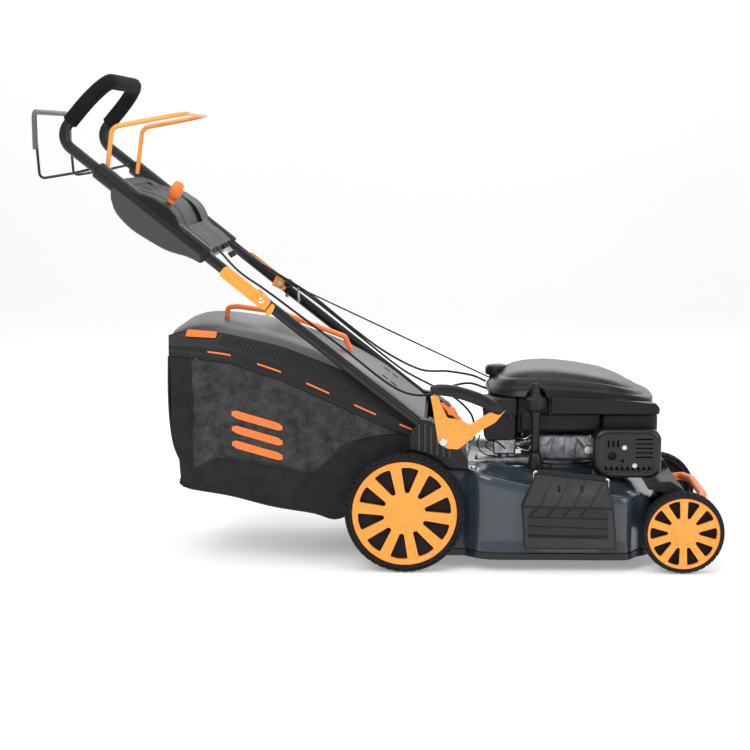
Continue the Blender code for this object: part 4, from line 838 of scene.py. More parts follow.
def make_hood():
    shares = [(0.998, 0.0), (0.985, 0.0), (0.96, -0.0002), (0.93, -0.0012), (0.915, -0.0030),
              (0.90, -0.0026), (0.86, -0.0012), (0.82, -0.0012), (0.805, -0.0028), (0.79, -0.0022),
              (0.72, 0.0), (0.64, 0.0), (0.52, 0.0), (0.40, 0.0), (0.26, 0.0), (0.12, 0.0)]
    outer = [hood_ring(0.997, 0.0, 0.3582), hood_ring(1.0, 0.0, 0.3600), hood_ring(1.0, 0.0, 0.372),
             hood_ring(1.0, 0.0, 0.3835)]
    outer += [hood_ring(s, 0.0, lift=d) for s, d in shares]
    inner = [hood_ring(0.99, 0.003, 0.3582), hood_ring(1.0, 0.003, 0.381)]
    inner += [hood_ring(s, 0.003) for s in (0.985, 0.93, 0.82, 0.64, 0.40, 0.12)]
    hood = put("hood", skin(inner[::-1] + outer), grey_plastic(), None, None, sharp=60)
    rope_at, rope_way = at(0.181, 0.130, 0.412), Vector((0.467, -0.020, -0.219)).normalized()
    cutters = [
        guide(prism(arc2([(0.10, 0.30), (0.336, 0.30), (0.336, 0.3975), (0.10, 0.3975)], 0.006, 4), -0.25, 0.25)),
        guide(turned(rod(0.029, 0.30, 0.50), "Z", at(0.304, -0.181, 0), 40)),
        guide(turned(rod(0.0305, 0.38, 0.50), "Z", at(0.2205, 0.05, 0), 40)),
        guide(tube([rope_at - rope_way * 0.03, rope_at + rope_way * 0.07], 0.0055, 16)),
    ]
    for k in range(7):
        x = 0.246 - 0.0085 * k
        cutters.append(guide(block(x, x + 0.004, 0.075, 0.14, 0.40, 0.47)))
    carve(hood, cutters)
    reshade(hood, 50)
    fit(hood, "chassis", "grey_plastic", "engine_hood")
    skirt = put("hood_skirt", prism(arc2([(0.340, 0.3584), (0.590, 0.3584), (0.592, 0.372), (0.584, 0.383),
                                          (0.500, 0.391), (0.340, 0.397)], 0.004, 4), -0.176, -0.150),
                                          grey_plastic(), "chassis", "grey_plastic")
    soften(skirt, 0.004, 3)
    vent = prism([(0.305, 0.4300), (0.319, 0.4300), (0.312, 0.4385)], -0.1395, -0.128)
    put("hood_vent", vent, smooth_black(), "chassis", "black_plastic")
    bm = block(0.268, 0.462, -0.136, 0.136, 0.3085, 0.3578)
    block(0.462, 0.590, -0.150, 0.120, 0.3085, 0.3578, bm)
    block(0.258, 0.340, -0.132, -0.062, 0.3040, 0.3960, bm)
    shroud = put("blower_shroud", bm, black_plastic(), "chassis", "black_plastic")
    soften(shroud, 0.010, 4)
    bm = block(0.300, 0.452, -0.106, -0.055, 0.2350, 0.3000)
    casting = put("engine_side_casting", bm, cast_aluminium(), "chassis", "aluminium")
    soften(casting, 0.009, 4)
    bm = bmesh.new()
    for x in (0.318, 0.345, 0.372, 0.399, 0.426):
        tube([at(x, -0.1055, 0.243), at(x + 0.006, -0.1055, 0.292)], 0.0028, 10, bm)
    tube([at(0.306, -0.1060, 0.246), at(0.350, -0.1060, 0.290)], 0.0034, 10, bm)
    tube([at(0.440, -0.1060, 0.246), at(0.404, -0.1060, 0.290)], 0.0034, 10, bm)
    turned([(0.006, -0.104), (0.013, -0.104), (0.013, -0.1125), (0.0115, -0.114), (0.006, -0.114)], "Y",
           at(0.437, 0, 0.287), 24, bm)
    turned([(0.0, -0.104), (0.010, -0.104), (0.010, -0.110), (0.0, -0.110)], "Y", at(0.330, 0, 0.262), 24,
           bm)
    put("engine_side_ribs", bm, cast_aluminium(), "chassis", "aluminium")
    bm = block(0.165, 0.298, -0.122, -0.070, 0.2250, 0.2480)
    soften(put("intake_casting", bm, cast_aluminium(), "chassis", "aluminium"), 0.010, 4)
    bm = bmesh.new()
    cap_z = low("fuel_cap").z
    centre = middle("fuel_cap")
    profile = [(0, cap_z), (0.0272, cap_z), (0.0272, cap_z + 0.017), (0.0250, cap_z + 0.0215),
               (0.0225, cap_z + 0.0228), (0.015, cap_z + 0.0232), (0.014, cap_z + 0.0242),
               (0, cap_z + 0.0244)]
    turned(profile, "Z", (centre.x, centre.y, 0), 48, bm)
    for k in range(24):
        a = 2 * math.pi * k / 24
        spot = Vector((centre.x + 0.0272 * math.cos(a), centre.y + 0.0272 * math.sin(a), 0))
        turned(rod(0.0013, cap_z + 0.001, cap_z + 0.017), "Z", spot, 8, bm)
    put("fuel_filler_cap", bm, grey_plastic(), "fuel_cap", "grey_plastic", "fuel_cap", sharp=40)


def make_air_and_oil():
    """Air filter box with its clip and seam, oil filler tube with its cap, and the fuel tank."""
    lower = [(0.191, 0.2925), (0.249, 0.2925), (0.2575, 0.303), (0.2595, 0.347), (0.184, 0.347),
             (0.1845, 0.303)]
    upper = [(0.1825, 0.351), (0.2615, 0.351), (0.2615, 0.392), (0.1825, 0.392)]
    for name, outline, y0, y1 in (("air_filter_base", lower, -0.1555, -0.082),
                                  ("air_filter_cover", upper, -0.158, -0.080)):
        obj = put(name, prism(arc2(outline, 0.006, 4), y0, y1), black_plastic(), "chassis", "black_plastic")
        soften(obj, 0.0035, 3, 50)
        if name.endswith("cover"):
            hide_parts("air_filter_box")
    bm = bmesh.new()
    block(0.186, 0.258, -0.1565, -0.081, 0.3465, 0.3515, bm)
    for x in (0.196, 0.246):
        block(x - 0.004, x + 0.004, -0.1605, -0.1560, 0.338, 0.360, bm)
    soften(put("air_filter_clips", bm, smooth_black(), "chassis", "black_plastic"), 0.0008, 2)

    path = rounded([at(0.322, -0.084, 0.262), at(0.304, -0.168, 0.250), at(0.304, -0.181, 0.372)], 0.03, 10)
    bm = tube(path[1:], 0.0105, 24)
    turned([(0, 0.232), (0.0165, 0.232), (0.0165, 0.246), (0.0135, 0.262), (0.0108, 0.268), (0, 0.268)],
           "Z", at(0.304, -0.1735, 0), 24, bm)
    turned([(0, 0.352), (0.0118, 0.352), (0.0145, 0.366), (0.0215, 0.3705), (0.0225, 0.3728), (0, 0.3728)],
           "Z", at(0.304, -0.181, 0), 32, bm)
    put("oil_filler", bm, smooth_black(), "chassis", "black_plastic", "oil_filler_tube")
    bm = turned([(0, 0.3737), (0.0235, 0.3737), (0.024, 0.376), (0.024, 0.392), (0.0225, 0.3965),
                 (0.0150, 0.4005), (0.0115, 0.408), (0.0075, 0.426), (0.006, 0.4315), (0, 0.432)], "Z",
                 at(0.304, -0.181, 0), 48)
    for k in range(12):
        a = 2 * math.pi * k / 12
        spot = at(0.304 + 0.0232 * math.cos(a), -0.181 + 0.0232 * math.sin(a), 0)
        turned(rod(0.0016, 0.376, 0.393), "Z", spot, 8, bm)
    put("oil_filler_cap", bm, black_plastic(), "oil_cap", "black_plastic", "oil_cap")

    tank = put("fuel_tank_body", block(0.200, 0.275, 0.004, 0.105, 0.300, 0.386), black_plastic(), None,
               None)
    soften(tank, 0.012, 4)
    settle(tank)
    extra = [guide(turned(rod(0.019, 0.380, 0.4205), "Z", at(0.2205, 0.05, 0), 32)),
             guide(block(0.262, 0.2812, 0.010, 0.040, 0.255, 0.310))]
    carve(tank, extra, "UNION")
    reshade(tank, 35)
    fit(tank, "chassis", "black_plastic", "fuel_tank")


def make_block():
    """Cast crankcase with ribs and bolts, finned cylinder, carburettor and its linkage."""
    base, top = 0.2247, 0.2998
    radius = 0.088
    case = put("crankcase_casting",
               turned([(0.0137, base), (radius + 0.0055, base), (radius + 0.006, base + 0.002),
                       (radius + 0.006, base + 0.008), (radius + 0.001, base + 0.011),
                       (radius - 0.002, base + 0.030), (radius - 0.004, top - 0.016),
                       (radius, top - 0.013), (radius, top - 0.003), (radius - 0.002, top), (0.0137, top)],
                       "Z", at(0.37, 0, 0), 96), cast_aluminium(), "chassis", "aluminium", "crankcase")
    soften(case, 0.0008, 2, 30)
    bm = bmesh.new()
    for k in range(20):
        a = 2 * math.pi * (k + 0.5) / 20
        way = Vector((math.cos(a), math.sin(a), 0))
        side = Vector((-way.y, way.x, 0)) * 0.0018
        hub = at(0.37, 0, 0)
        rings = []
        for r, z in ((radius - 0.006, base + 0.009), (radius + 0.0045, base + 0.009),
                     (radius + 0.0005, top - 0.014),
                     (radius - 0.006, top - 0.014)):
            rings.append(hub + way * r + Vector((0, 0, z)))
        skin([[p - side for p in rings], [p + side for p in rings]], bm=bm)
    put("crankcase_ribs", bm, cast_aluminium(), "chassis", "aluminium")
    bm = bmesh.new()
    for k in range(6):
        a = 2 * math.pi * (k + 0.25) / 6
        spot = at(0.37 + 0.0905 * math.cos(a), 0.0905 * math.sin(a), base + 0.008)
        bolt_head(bm, spot, "Z", 0.0032, 0.005)
    for x, z in ((0.452, 0.318), (0.444, 0.262)):
        turned([(0, 0), (0.0085, 0), (0.0085, 0.004), (0.0055, 0.006), (0.0055, 0.009), (0.0025, 0.009),
                (0.0025, 0.004), (0, 0.004)], "Y", at(x - 0.012, -0.112, z), 24, bm)
    put("engine_bolts", bm, bright_steel(), "chassis", "steel")

    lo, hi = low("cylinder"), high("cylinder")
    bm = bmesh.new()
    fins = 7
    pitch = (hi.x - lo.x - 0.020) / fins
    core = 0.009
    skin([[(x, y, z) for x, y,
           z in ((lo.x, lo.y + core, lo.z + core), (lo.x, hi.y - core, lo.z + core),
                 (lo.x, hi.y - core, hi.z - core), (lo.x, lo.y + core, hi.z - core))],
                 [(x, y, z) for x, y, z in ((hi.x - 0.018, lo.y + core, lo.z + core),
                                            (hi.x - 0.018, hi.y - core, lo.z + core),
                                            (hi.x - 0.018, hi.y - core, hi.z - core),
                                            (hi.x - 0.018, lo.y + core, hi.z - core))]], bm=bm)
    for k in range(fins):
        x = lo.x + pitch * (k + 0.3)
        edge = arc2([(lo.y, lo.z), (hi.y, lo.z), (hi.y, hi.z), (lo.y, hi.z)], 0.012, 4)
        skin([[(x + d, p.x, p.y) for p in edge] for d in (0.0, 0.0034)], bm=bm)
    edge = arc2([(lo.y + 0.004, lo.z + 0.004), (hi.y - 0.004, lo.z + 0.004), (hi.y - 0.004, hi.z - 0.004),
                 (lo.y + 0.004, hi.z - 0.004)], 0.010, 4)
    skin([[(x, p.x, p.y) for p in edge] for x in (hi.x - 0.018, hi.x - 0.0002)], bm=bm)
    put("cylinder_fins", bm, cast_aluminium(), "chassis", "aluminium", "cylinder")

    bm = bmesh.new()
    block(0.207, 0.260, -0.126, -0.082, 0.254, 0.2915, bm)
    body = put("carburettor_body", bm, cast_aluminium(), "chassis", "aluminium", "carburettor")
    soften(body, 0.004, 3)
    bm = tube([at(0.240, -0.092, 0.270), at(0.2905, -0.062, 0.270)], 0.0118, 24)
    turned(button(0.013, 0.236, 0.2545, 0.003), "Z", at(0.232, -0.104, 0), 24, bm)
    put("intake_pipe", bm, cast_aluminium(), "chassis", "aluminium")
    bm = bmesh.new()
    runs = [[(0.205, -0.128, 0.262), (0.190, -0.134, 0.275), (0.196, -0.136, 0.288),
             (0.216, -0.132, 0.284), (0.236, -0.130, 0.268)],
             [(0.236, -0.131, 0.283), (0.262, -0.128, 0.272), (0.288, -0.116, 0.262),
              (0.300, -0.104, 0.276)], [(0.176, -0.120, 0.300), (0.170, -0.126, 0.276),
                                        (0.186, -0.130, 0.256), (0.214, -0.128, 0.250)],
                                        [(0.262, -0.110, 0.292), (0.282, -0.118, 0.290),
                                         (0.300, -0.112, 0.300), (0.330, -0.096, 0.3035)]]
    for k, run in enumerate(runs):
        tube(flowing([at(*p) for p in run], 0.004), 0.0011 if k % 2 else 0.0016, 8, bm, k % 2)
    coil = []
    for i in range(97):
        t = i / 96
        a = t * 2 * math.pi * 9
        coil.append(at(0.268 + 0.040 * t, -0.124 + 0.0042 * math.cos(a),
                       0.283 + 0.006 * t + 0.0042 * math.sin(a)))
    tube(coil, 0.0007, 6, bm, 1)
    put("throttle_linkage", bm, [smooth_black(), bright_steel()], "chassis", "steel")


def make_exhaust():
    """Muffler under its pressed guard, which has louvres, slots, a round hole and two screws."""
    lo, hi = low("muffler_guard"), high("muffler_guard")
    x, z = (lo.x + hi.x) / 2 - SHIFT, (lo.z + hi.z) / 2
    half_x, half_z = (hi.x - lo.x) / 2, (hi.z - lo.z) / 2
    rim_y, face_y, wall = hi.y, lo.y, 0.003

    def ring(inset, y):
        corner = 0.026 - inset * 0.5
        points = []
        for quarter in range(4):
            cx = x + (half_x - inset - corner) * (1 if quarter in (0, 3) else -1)
            cz = z + (half_z - inset - corner) * (1 if quarter in (0, 1) else -1)
            for step in range(9):
                a = math.pi / 2 * (quarter + step / 8)
                points.append(at(cx + corner * math.cos(a), y, cz + corner * math.sin(a)))
        return points
    outer = [ring(0.0, rim_y), ring(0.0, face_y + 0.010), ring(0.0008, face_y + 0.006),
             ring(0.003, face_y + 0.0028), ring(0.006, face_y + 0.0009), ring(0.010, face_y),
             ring(0.016, face_y + 0.0003), ring(0.0185, face_y + 0.0022)]
    inner = [ring(wall, rim_y), ring(wall, face_y + 0.010), ring(wall + 0.012, face_y + wall + 0.002)]
    guard = put("exhaust_guard", skin(inner[::-1] + outer), black_paint(), None, None, sharp=40)
    cutters = []

    def slot(x0, x1, z0, z1, radius=0.0022):
        outline = arc2([(x0, z0), (x1, z0), (x1, z1), (x0, z1)], radius, 3)
        cutters.append(guide(prism(outline, face_y - 0.01, face_y + 0.012)))
    for k in range(3):
        slot(0.4700 + 0.0110 * k, 0.4745 + 0.0110 * k, 0.2840, 0.3010)
    for k in range(5):
        slot(0.5350, 0.5745, 0.3010 - 0.0105 * k, 0.3045 - 0.0105 * k, 0.0016)
    for k in range(9):
        slot(0.4640 + 0.0125 * k, 0.4690 + 0.0125 * k, 0.2245, 0.2390)
    cutters.append(guide(turned(rod(0.0105, face_y - 0.01, face_y + 0.012), "Y", at(0.4800, 0, 0.2640),
                                32)))
    cutters.append(guide(turned(rod(0.0035, face_y - 0.01, face_y + 0.012), "Y", at(0.5050, 0, 0.2520),
                                16)))
    carve(guard, cutters)
    reshade(guard, 40)
    soften(guard, 0.0006, 1, 40)
    fit(guard, "chassis", "black_paint", "muffler_guard")
    bm = bmesh.new()
    for sx, sz in ((0.509, 0.284), (0.5330, 0.2415)):
        turned([(0, 0), (0.0058, 0), (0.0058, -0.0012), (0.0040, -0.0016), (0.0040, -0.0040),
                (0.0034, -0.0046), (0, -0.0046)], "Y", at(sx, face_y + 0.0022, sz), 24, bm)
    put("guard_screws", bm, bright_steel(), "chassis", "steel")
    shell = put("muffler_shell", block(0.4535, 0.5835, -0.177, -0.056, 0.2235, 0.3065), hot_steel(),
                "chassis", "steel", "muffler")
    soften(shell, 0.014, 4)


# ---- handle -----------------------------------------------------------------------------
LAP = 0.028
CLAMP_SET, CLAMP_TAIL, CLAMP_LONG = 0.0155, 0.0045, 0.1285
FOOT, FOLD, NECK, GRIP = (0.075, 0.312), (-0.326, 0.631), (-0.788, 1.003), (-0.677, 1.130)


def on_plane(p, y):
    return at(p[0], y, p[1])


def handle_way():
    return (Vector(NECK) - Vector(FOLD)).normalized()


def make_tubes():
    """Lower and upper tubes with half-lapped ends at the fold, and the foam grip."""
    foot, fold = Vector(FOOT), Vector(FOLD)
    up = (fold - foot).normalized()
    way = handle_way()
    for side, sign in (("L", 1), ("R", -1)):
        y = sign * TUBE_Y
        head = fold + up * TUBE_R
        bar = put(f"tube_lower_{side}", tube([on_plane(foot, y), on_plane(head, y)], TUBE_R),
                  black_paint(), None, None)
        start, end = fold - up * LAP, fold + up * 0.04
        off = Vector((-up.y, up.x)) * 0.03
        y0, y1 = sorted((y - sign * 0.04, y + sign * 0.0004))
        lap = guide(prism([start - off, start + off, end + off, end - off], y0, y1))
        carve(bar, [lap])
        reshade(bar, 40)
        fit(bar, "chassis", "black_paint", f"lower_tube_{side}")
    corner, top = Vector(NECK), Vector(GRIP)
    low_end = fold - way * TUBE_R
    left = [on_plane(low_end, TUBE_Y), on_plane(corner, TUBE_Y), on_plane(top, TUBE_Y)]
    right = [Vector((p.x, -p.y, p.z)) for p in reversed(left)]
    path = rounded(left + right, [0.038, 0.085, 0.085, 0.038], 12)
    bar = put("tube_upper", tube(path, TUBE_R), black_paint(), None, None)
    laps = []
    for sign in (1, -1):
        y = sign * TUBE_Y
        start, end = fold - way * 0.04, fold + way * LAP
        off = Vector((-way.y, way.x)) * 0.03
        y0, y1 = sorted((y - sign * 0.0004, y + sign * 0.04))
        laps.append(guide(prism([start - off, start + off, end + off, end - off], y0, y1)))
    carve(bar, laps)
    reshade(bar, 40)
    fit(bar, "upper_handle", "black_paint", "upper_handle")
    start = top + (corner - top) * 0.74
    left = [on_plane(start, TUBE_Y), on_plane(top, TUBE_Y)]
    right = [Vector((p.x, -p.y, p.z)) for p in reversed(left)]
    path = rounded(left + right, 0.085, 14)
    hole = swept_rings(path, [circle(TUBE_R + 0.0004, 32)] * len(path))
    ends = 0.0025
    first, last = (path[1] - path[0]).normalized() * ends, (path[-2] - path[-1]).normalized() * ends
    outer_path = [path[0], path[0] + first, *path[1:-1], path[-1] + last, path[-1]]
    outer_r = [0.0158, 0.0179, *[0.0180] * (len(path) - 2), 0.0179, 0.0158]
    outer = swept_rings(outer_path, [circle(r, 32) for r in outer_r])
    put("grip_foam", skin(outer + hole[::-1], closed=True), foam_rubber(), "upper_handle", "foam",
        "foam_grip")


def make_brackets():
    """Upright ribs on the outer face of each handle bracket."""
    for side, sign in (("L", 1), ("R", -1)):
        lo, hi = low(f"handle_bracket_{side}"), high(f"handle_bracket_{side}")
        face = hi.y if sign > 0 else -lo.y
        bm = bmesh.new()
        for k in range(6):
            x = 0.034 + 0.014 * k
            z0 = 0.2835 - (x - 0.03) * 0.25
            z1 = min(0.350 - max(0.0, x - 0.05) * 0.95, 0.345)
            if z1 - z0 > 0.012:
                y0, y1 = sorted((sign * (face - 0.003), sign * (face + 0.0015)))
                block(x - 0.0018, x + 0.0018, y0, y1, z0, z1, bm)
        put(f"bracket_ribs_{side}", bm, belly_plastic(), "chassis", "black_plastic")


def make_clamps():
    """Quick-release levers, their through bolts with a three-cornered inner plate, nut and washer."""
    fold, way = Vector(FOLD), handle_way()
    square = Vector((way.y, -way.x))
    for side, sign in (("L", 1), ("R", -1)):
        face = TUBE_Y + TUBE_R + 0.0015
        plate = TUBE_Y - TUBE_R - 0.0012
        corners = [fold + way * 0.022 + square * 0.014, fold + way * 0.016 - square * 0.016,
                   fold - way * 0.018 - square * 0.008, fold - way * 0.016 + square * 0.010]
        y0, y1 = sorted((sign * (plate - 0.0038), sign * plate))
        bm = prism(arc2(corners, 0.004, 4), y0, y1)
        spot = at(fold.x, 0, fold.y)
        pivot = fold - way * CLAMP_SET
        turned([(0, sign * (plate - 0.004)), (0.004, sign * (plate - 0.004)),
                (0.004, sign * (face + 0.003)), (0, sign * (face + 0.003))], "Y", spot, 20, bm, 1)
        turned([(0, sign * (plate - 0.008)), (0.0065, sign * (plate - 0.008)),
                (0.0065, sign * (plate - 0.0036)), (0, sign * (plate - 0.0036))], "Y", spot, 6, bm, 1)
        turned([(0, sign * (face - 0.001)), (0.0090, sign * (face - 0.001)),
                (0.0090, sign * (face + 0.002)), (0, sign * (face + 0.002))], "Y", spot, 32, bm, 1)
        tab = [pivot - way * 0.007 + square * 0.010, pivot - way * 0.007 - square * 0.010,
               pivot - way * 0.012 - square * 0.022, pivot - way * 0.020 - square * 0.019,
               pivot - way * 0.021 - square * 0.004, pivot - way * 0.017 + square * 0.010]
        y0, y1 = sorted((sign * (face + 0.0002), sign * (face + 0.0036)))
        prism(arc2(tab, 0.003, 3), y0, y1, bm)
        obj = put(f"clamp_through_bolt_{side}", bm, [orange_paint(), bright_steel()], "chassis",
                  "bail_orange", f"clamp_bolt_{side}")
        soften(obj, 0.0006, 2, 40)

        pivot = fold - way * CLAMP_SET
        inner = face + 0.0042
        half = 0.0145
        outline = [pivot - way * CLAMP_TAIL - square * half * 0.8,
                   pivot - way * CLAMP_TAIL + square * half * 0.8, pivot + way * 0.0075 + square * half,
                   pivot + way * CLAMP_LONG + square * half, pivot + way * CLAMP_LONG - square * half,
                   pivot + way * 0.0075 - square * half]
        y0, y1 = sorted((sign * inner, sign * (inner + 0.006)))
        lever = put(f"clamp_arm_{side}", prism(arc2(outline, 0.011, 6), y0, y1), orange_plastic(), None,
                    None)
        dish = arc2([pivot + way * 0.030 + square * half * 0.62,
                     pivot + way * 0.112 + square * half * 0.62,
                     pivot + way * 0.112 - square * half * 0.62,
                     pivot + way * 0.030 - square * half * 0.62], 0.008, 5)
        y0, y1 = sorted((sign * (inner + 0.0048), sign * (inner + 0.02)))
        carve(lever, [guide(prism(dish, y0, y1))])
        soften(lever, 0.0011, 3, 40)
        fit(lever, f"clamp_lever_{side}", "orange", f"clamp_lever_{side}")
        bm = turned([(0, 0), (0.0062, 0), (0.0062, sign * 0.0012), (0.0045, sign * 0.0022),
                     (0, sign * 0.0022)], "Y", at(fold.x, sign * (inner + 0.0046), fold.y), 24)
        put(f"clamp_rivet_{side}", bm, bright_steel(), f"clamp_lever_{side}", "steel")


def make_bails():
    wall = TUBE_Y - TUBE_R - 0.0006
    px, pz, y = -0.706, 0.934, 0.172
    left = [(px, wall, pz), (px, y, pz), (-0.765, y, 0.921), (-0.842, y, 0.909), (-0.8515, y, 1.062)]
    right = [(x, -b, z) for x, b, z in reversed(left)]
    path = rounded([at(*p) for p in left + right], [0.006, 0.02, 0.012, 0.022, 0.022, 0.012, 0.02, 0.006],
                   8)
    put("bail_wire", tube(path, 0.0032, 16), black_paint(), "drive_bail", "bail_grey", "drive_bail")
    upper = [p for p in path if p.z > 0.9755]
    sleeve = [Vector((upper[0].x, upper[0].y, 0.976)), *upper[1:-1],
              Vector((upper[-1].x, upper[-1].y, 0.976))]
    put("bail_sleeve", tube(sleeve, 0.0062, 24), bail_sleeve(), "drive_bail", "bail_grey")

    px, pz, y = -0.683, 0.916, 0.188
    left = [(px, wall, pz), (px, y, pz), (-0.667, y, 1.026), (-0.500, y - 0.004, 1.056)]
    right = [(x, -b, z) for x, b, z in reversed(left)]
    path = rounded([at(*p) for p in left + right], [0.006, 0.022, 0.055, 0.055, 0.022, 0.006], 12)
    put("brake_bar", tube(path, 0.0054, 24), orange_paint(), "brake_bail", "bail_orange", "brake_bail")


# ---- console ----------------------------------------------------------------------------
def pod_loft(lower, upper, halves):
    """Cross sections of the pod from one side to the other, rounded off towards the sides."""
    rings = []
    for y, pull in halves:
        centre = Vector((-0.568, 0.812))
        ring = []
        for p in lower + upper:
            q = Vector(p)
            ring.append(on_plane(centre + (q - centre) * pull, y))
        rings.append(ring)
    return rings


def make_console():
    rear, front = Vector((-0.668, 0.8985)), Vector((-0.452, 0.7300))
    belly = [(-0.466, 0.716), (-0.495, 0.730), (-0.540, 0.744), (-0.585, 0.769), (-0.626, 0.797),
             (-0.658, 0.833), (-0.669, 0.866)]
    hump = [(-0.668, 0.906), (-0.645, 0.8965), (-0.623, 0.884), (-0.605, 0.8785), (-0.587, 0.873),
            (-0.568, 0.866), (-0.551, 0.855), (-0.536, 0.845), (-0.524, 0.832), (-0.515, 0.816),
            (-0.508, 0.798), (-0.493, 0.783), (-0.478, 0.772), (-0.447, 0.745)]
    lift = Vector((0.0, 0.0004))
    belly_curve = [Vector((p.x, p.y)) for p in flowing([(x, z, 0) for x, z in belly], 0.008)]
    hump_curve = [Vector((p.x, p.y)) for p in flowing([(x, z, 0) for x, z in hump], 0.008)]
    half = 0.2338
    sides = [(-half, 0.90), (-half + 0.003, 0.955), (-half + 0.008, 0.985), (-half + 0.016, 1.0),
             (0.0, 1.0), (half - 0.016, 1.0), (half - 0.008, 0.985), (half - 0.003, 0.955), (half, 0.90)]
    base = put("console_tray", skin(pod_loft([rear - lift, front - lift], belly_curve, sides)),
               belly_plastic(), None, None, sharp=40)
    cover = put("console_pod", skin(pod_loft([front + lift, rear + lift], hump_curve, sides)),
                console_plastic(), None, None, sharp=40)
    fold, neck = Vector(FOLD), Vector(NECK)
    for obj in (base, cover):
        rooms = []
        for sign in (1, -1):
            rooms.append(guide(tube([on_plane(fold, sign * TUBE_Y), on_plane(neck, sign * TUBE_Y)],
                                    TUBE_R + 0.0006, 32)))
        carve(obj, rooms)
    pivot = Vector((-0.575, 0.790))
    slot = guide(turned(rod(0.125, -0.1495, -0.1405), "Y", at(pivot.x, 0, pivot.y), 48))
    middle_dish = guide(prism([(-0.650, 0.93), (-0.640, 0.8885), (-0.612, 0.877), (-0.585, 0.868),
                               (-0.555, 0.852), (-0.535, 0.835), (-0.523, 0.815), (-0.516, 0.795),
                               (-0.49, 0.80), (-0.49, 0.93)], -0.105, 0.105))
    carve(cover, [slot, middle_dish])
    for obj, mat_slot, node in ((base, "grey_plastic", "console_base"),
                                (cover, "grey_plastic", "console_cover")):
        reshade(obj, 40)
        soften(obj, 0.0012, 2, 45)
        fit(obj, "upper_handle", mat_slot, node)
    panel = [(-0.6395, 0.8890), (-0.612, 0.8800), (-0.585, 0.8715), (-0.558, 0.8575), (-0.538, 0.8400),
             (-0.5255, 0.8190), (-0.5185, 0.797)]
    top = [Vector((p.x, p.y)) for p in flowing([(x, z, 0) for x, z in panel], 0.006)]
    under = [p - Vector((0.004, 0.008)) for p in reversed(top)]
    centre_panel = put("console_panel", prism(top + under, -0.1045, 0.1045), console_plastic(), None, None)
    notches = []
    for sign in (1, -1):
        cut_bm = skin([[at(-0.632, sign * 0.030, 0.8855), at(-0.600, sign * 0.030, 0.8745),
                        at(-0.632, sign * 0.080, 0.8855)],
                        [at(-0.622, sign * 0.030, 0.915), at(-0.590, sign * 0.030, 0.904),
                         at(-0.622, sign * 0.080, 0.915)]])
        notches.append(guide(cut_bm))
    carve(centre_panel, notches)
    reshade(centre_panel, 35)
    soften(centre_panel, 0.0012, 3, 40)
    fit(centre_panel, "upper_handle", "lid_plastic")
    bm = bmesh.new()
    way, low_x, top_x = handle_way(), -0.450, -0.699
    for sign in (1, -1):
        ends = [fold + way * ((x - fold.x) / way.x) for x in (low_x, top_x)]
        tube([on_plane(ends[0], sign * TUBE_Y), on_plane(ends[0].lerp(ends[1], 0.5), sign * TUBE_Y),
              on_plane(ends[1], sign * TUBE_Y)], 0.0204, 28, bm)
    put("console_sleeves", bm, smooth_black(), "upper_handle", "black_plastic")
    bm = bmesh.new()
    for y in (0.045, 0.075, 0.105):
        a = at(-0.452, y, 0.742)
        way = Vector((0.62, 0, -0.78))
        tube([a, a + way * 0.012], 0.0048, 16, bm, 0)
        tube([a + way * 0.010, a + way * 0.028], 0.0032, 12, bm, 1)
        tube([a + way * 0.026, a + way * 0.040], 0.0040, 12, bm, 0)
    put("cable_adjusters", bm, [smooth_black(), bright_steel()], "upper_handle", "steel")


def make_throttle():
    pivot, lean = Vector((-0.575, 0.790)), math.radians(64)
    way = Vector((math.cos(lean), math.sin(lean)))
    square = Vector((way.y, -way.x))
    y = -0.145
    stem = [pivot - way * 0.012 + square * 0.010, pivot + way * 0.082 + square * 0.006,
            pivot + way * 0.082 - square * 0.006, pivot - way * 0.012 - square * 0.010]
    bm = prism(stem, y - 0.0035, y + 0.0035)
    rings = []
    for along, wide, deep in ((0.078, 0.006, 0.006), (0.082, 0.0095, 0.011), (0.092, 0.0115, 0.0140),
                              (0.106, 0.0118, 0.0136),
                              (0.116, 0.0105, 0.0116), (0.121, 0.0075, 0.0085), (0.1222, 0.004, 0.0050)):
        centre = pivot + way * along + square * (0.0015 + 0.00006 * along)
        ring = []
        for i in range(24):
            a = 2 * math.pi * i / 24
            c, s = math.cos(a), math.sin(a)
            u = math.copysign(abs(c) ** 0.6, c) * wide
            v = math.copysign(abs(s) ** 0.6, s) * deep
            q = centre + square * v
            ring.append(at(q.x, y + u, q.y))
        rings.append(ring)
    skin(rings, bm=bm)
    obj = put("throttle_paddle", bm, flame_plastic(), "throttle_lever", "orange", "throttle_lever",
              sharp=45)
    soften(obj, 0.0005, 2, 50)


# ---- rope, cables and small levers ---------------------------------------------------------
ROPE_GUIDE, ROPE_HOOD = (-0.286, 0.150, 0.631), (0.181, 0.130, 0.412)


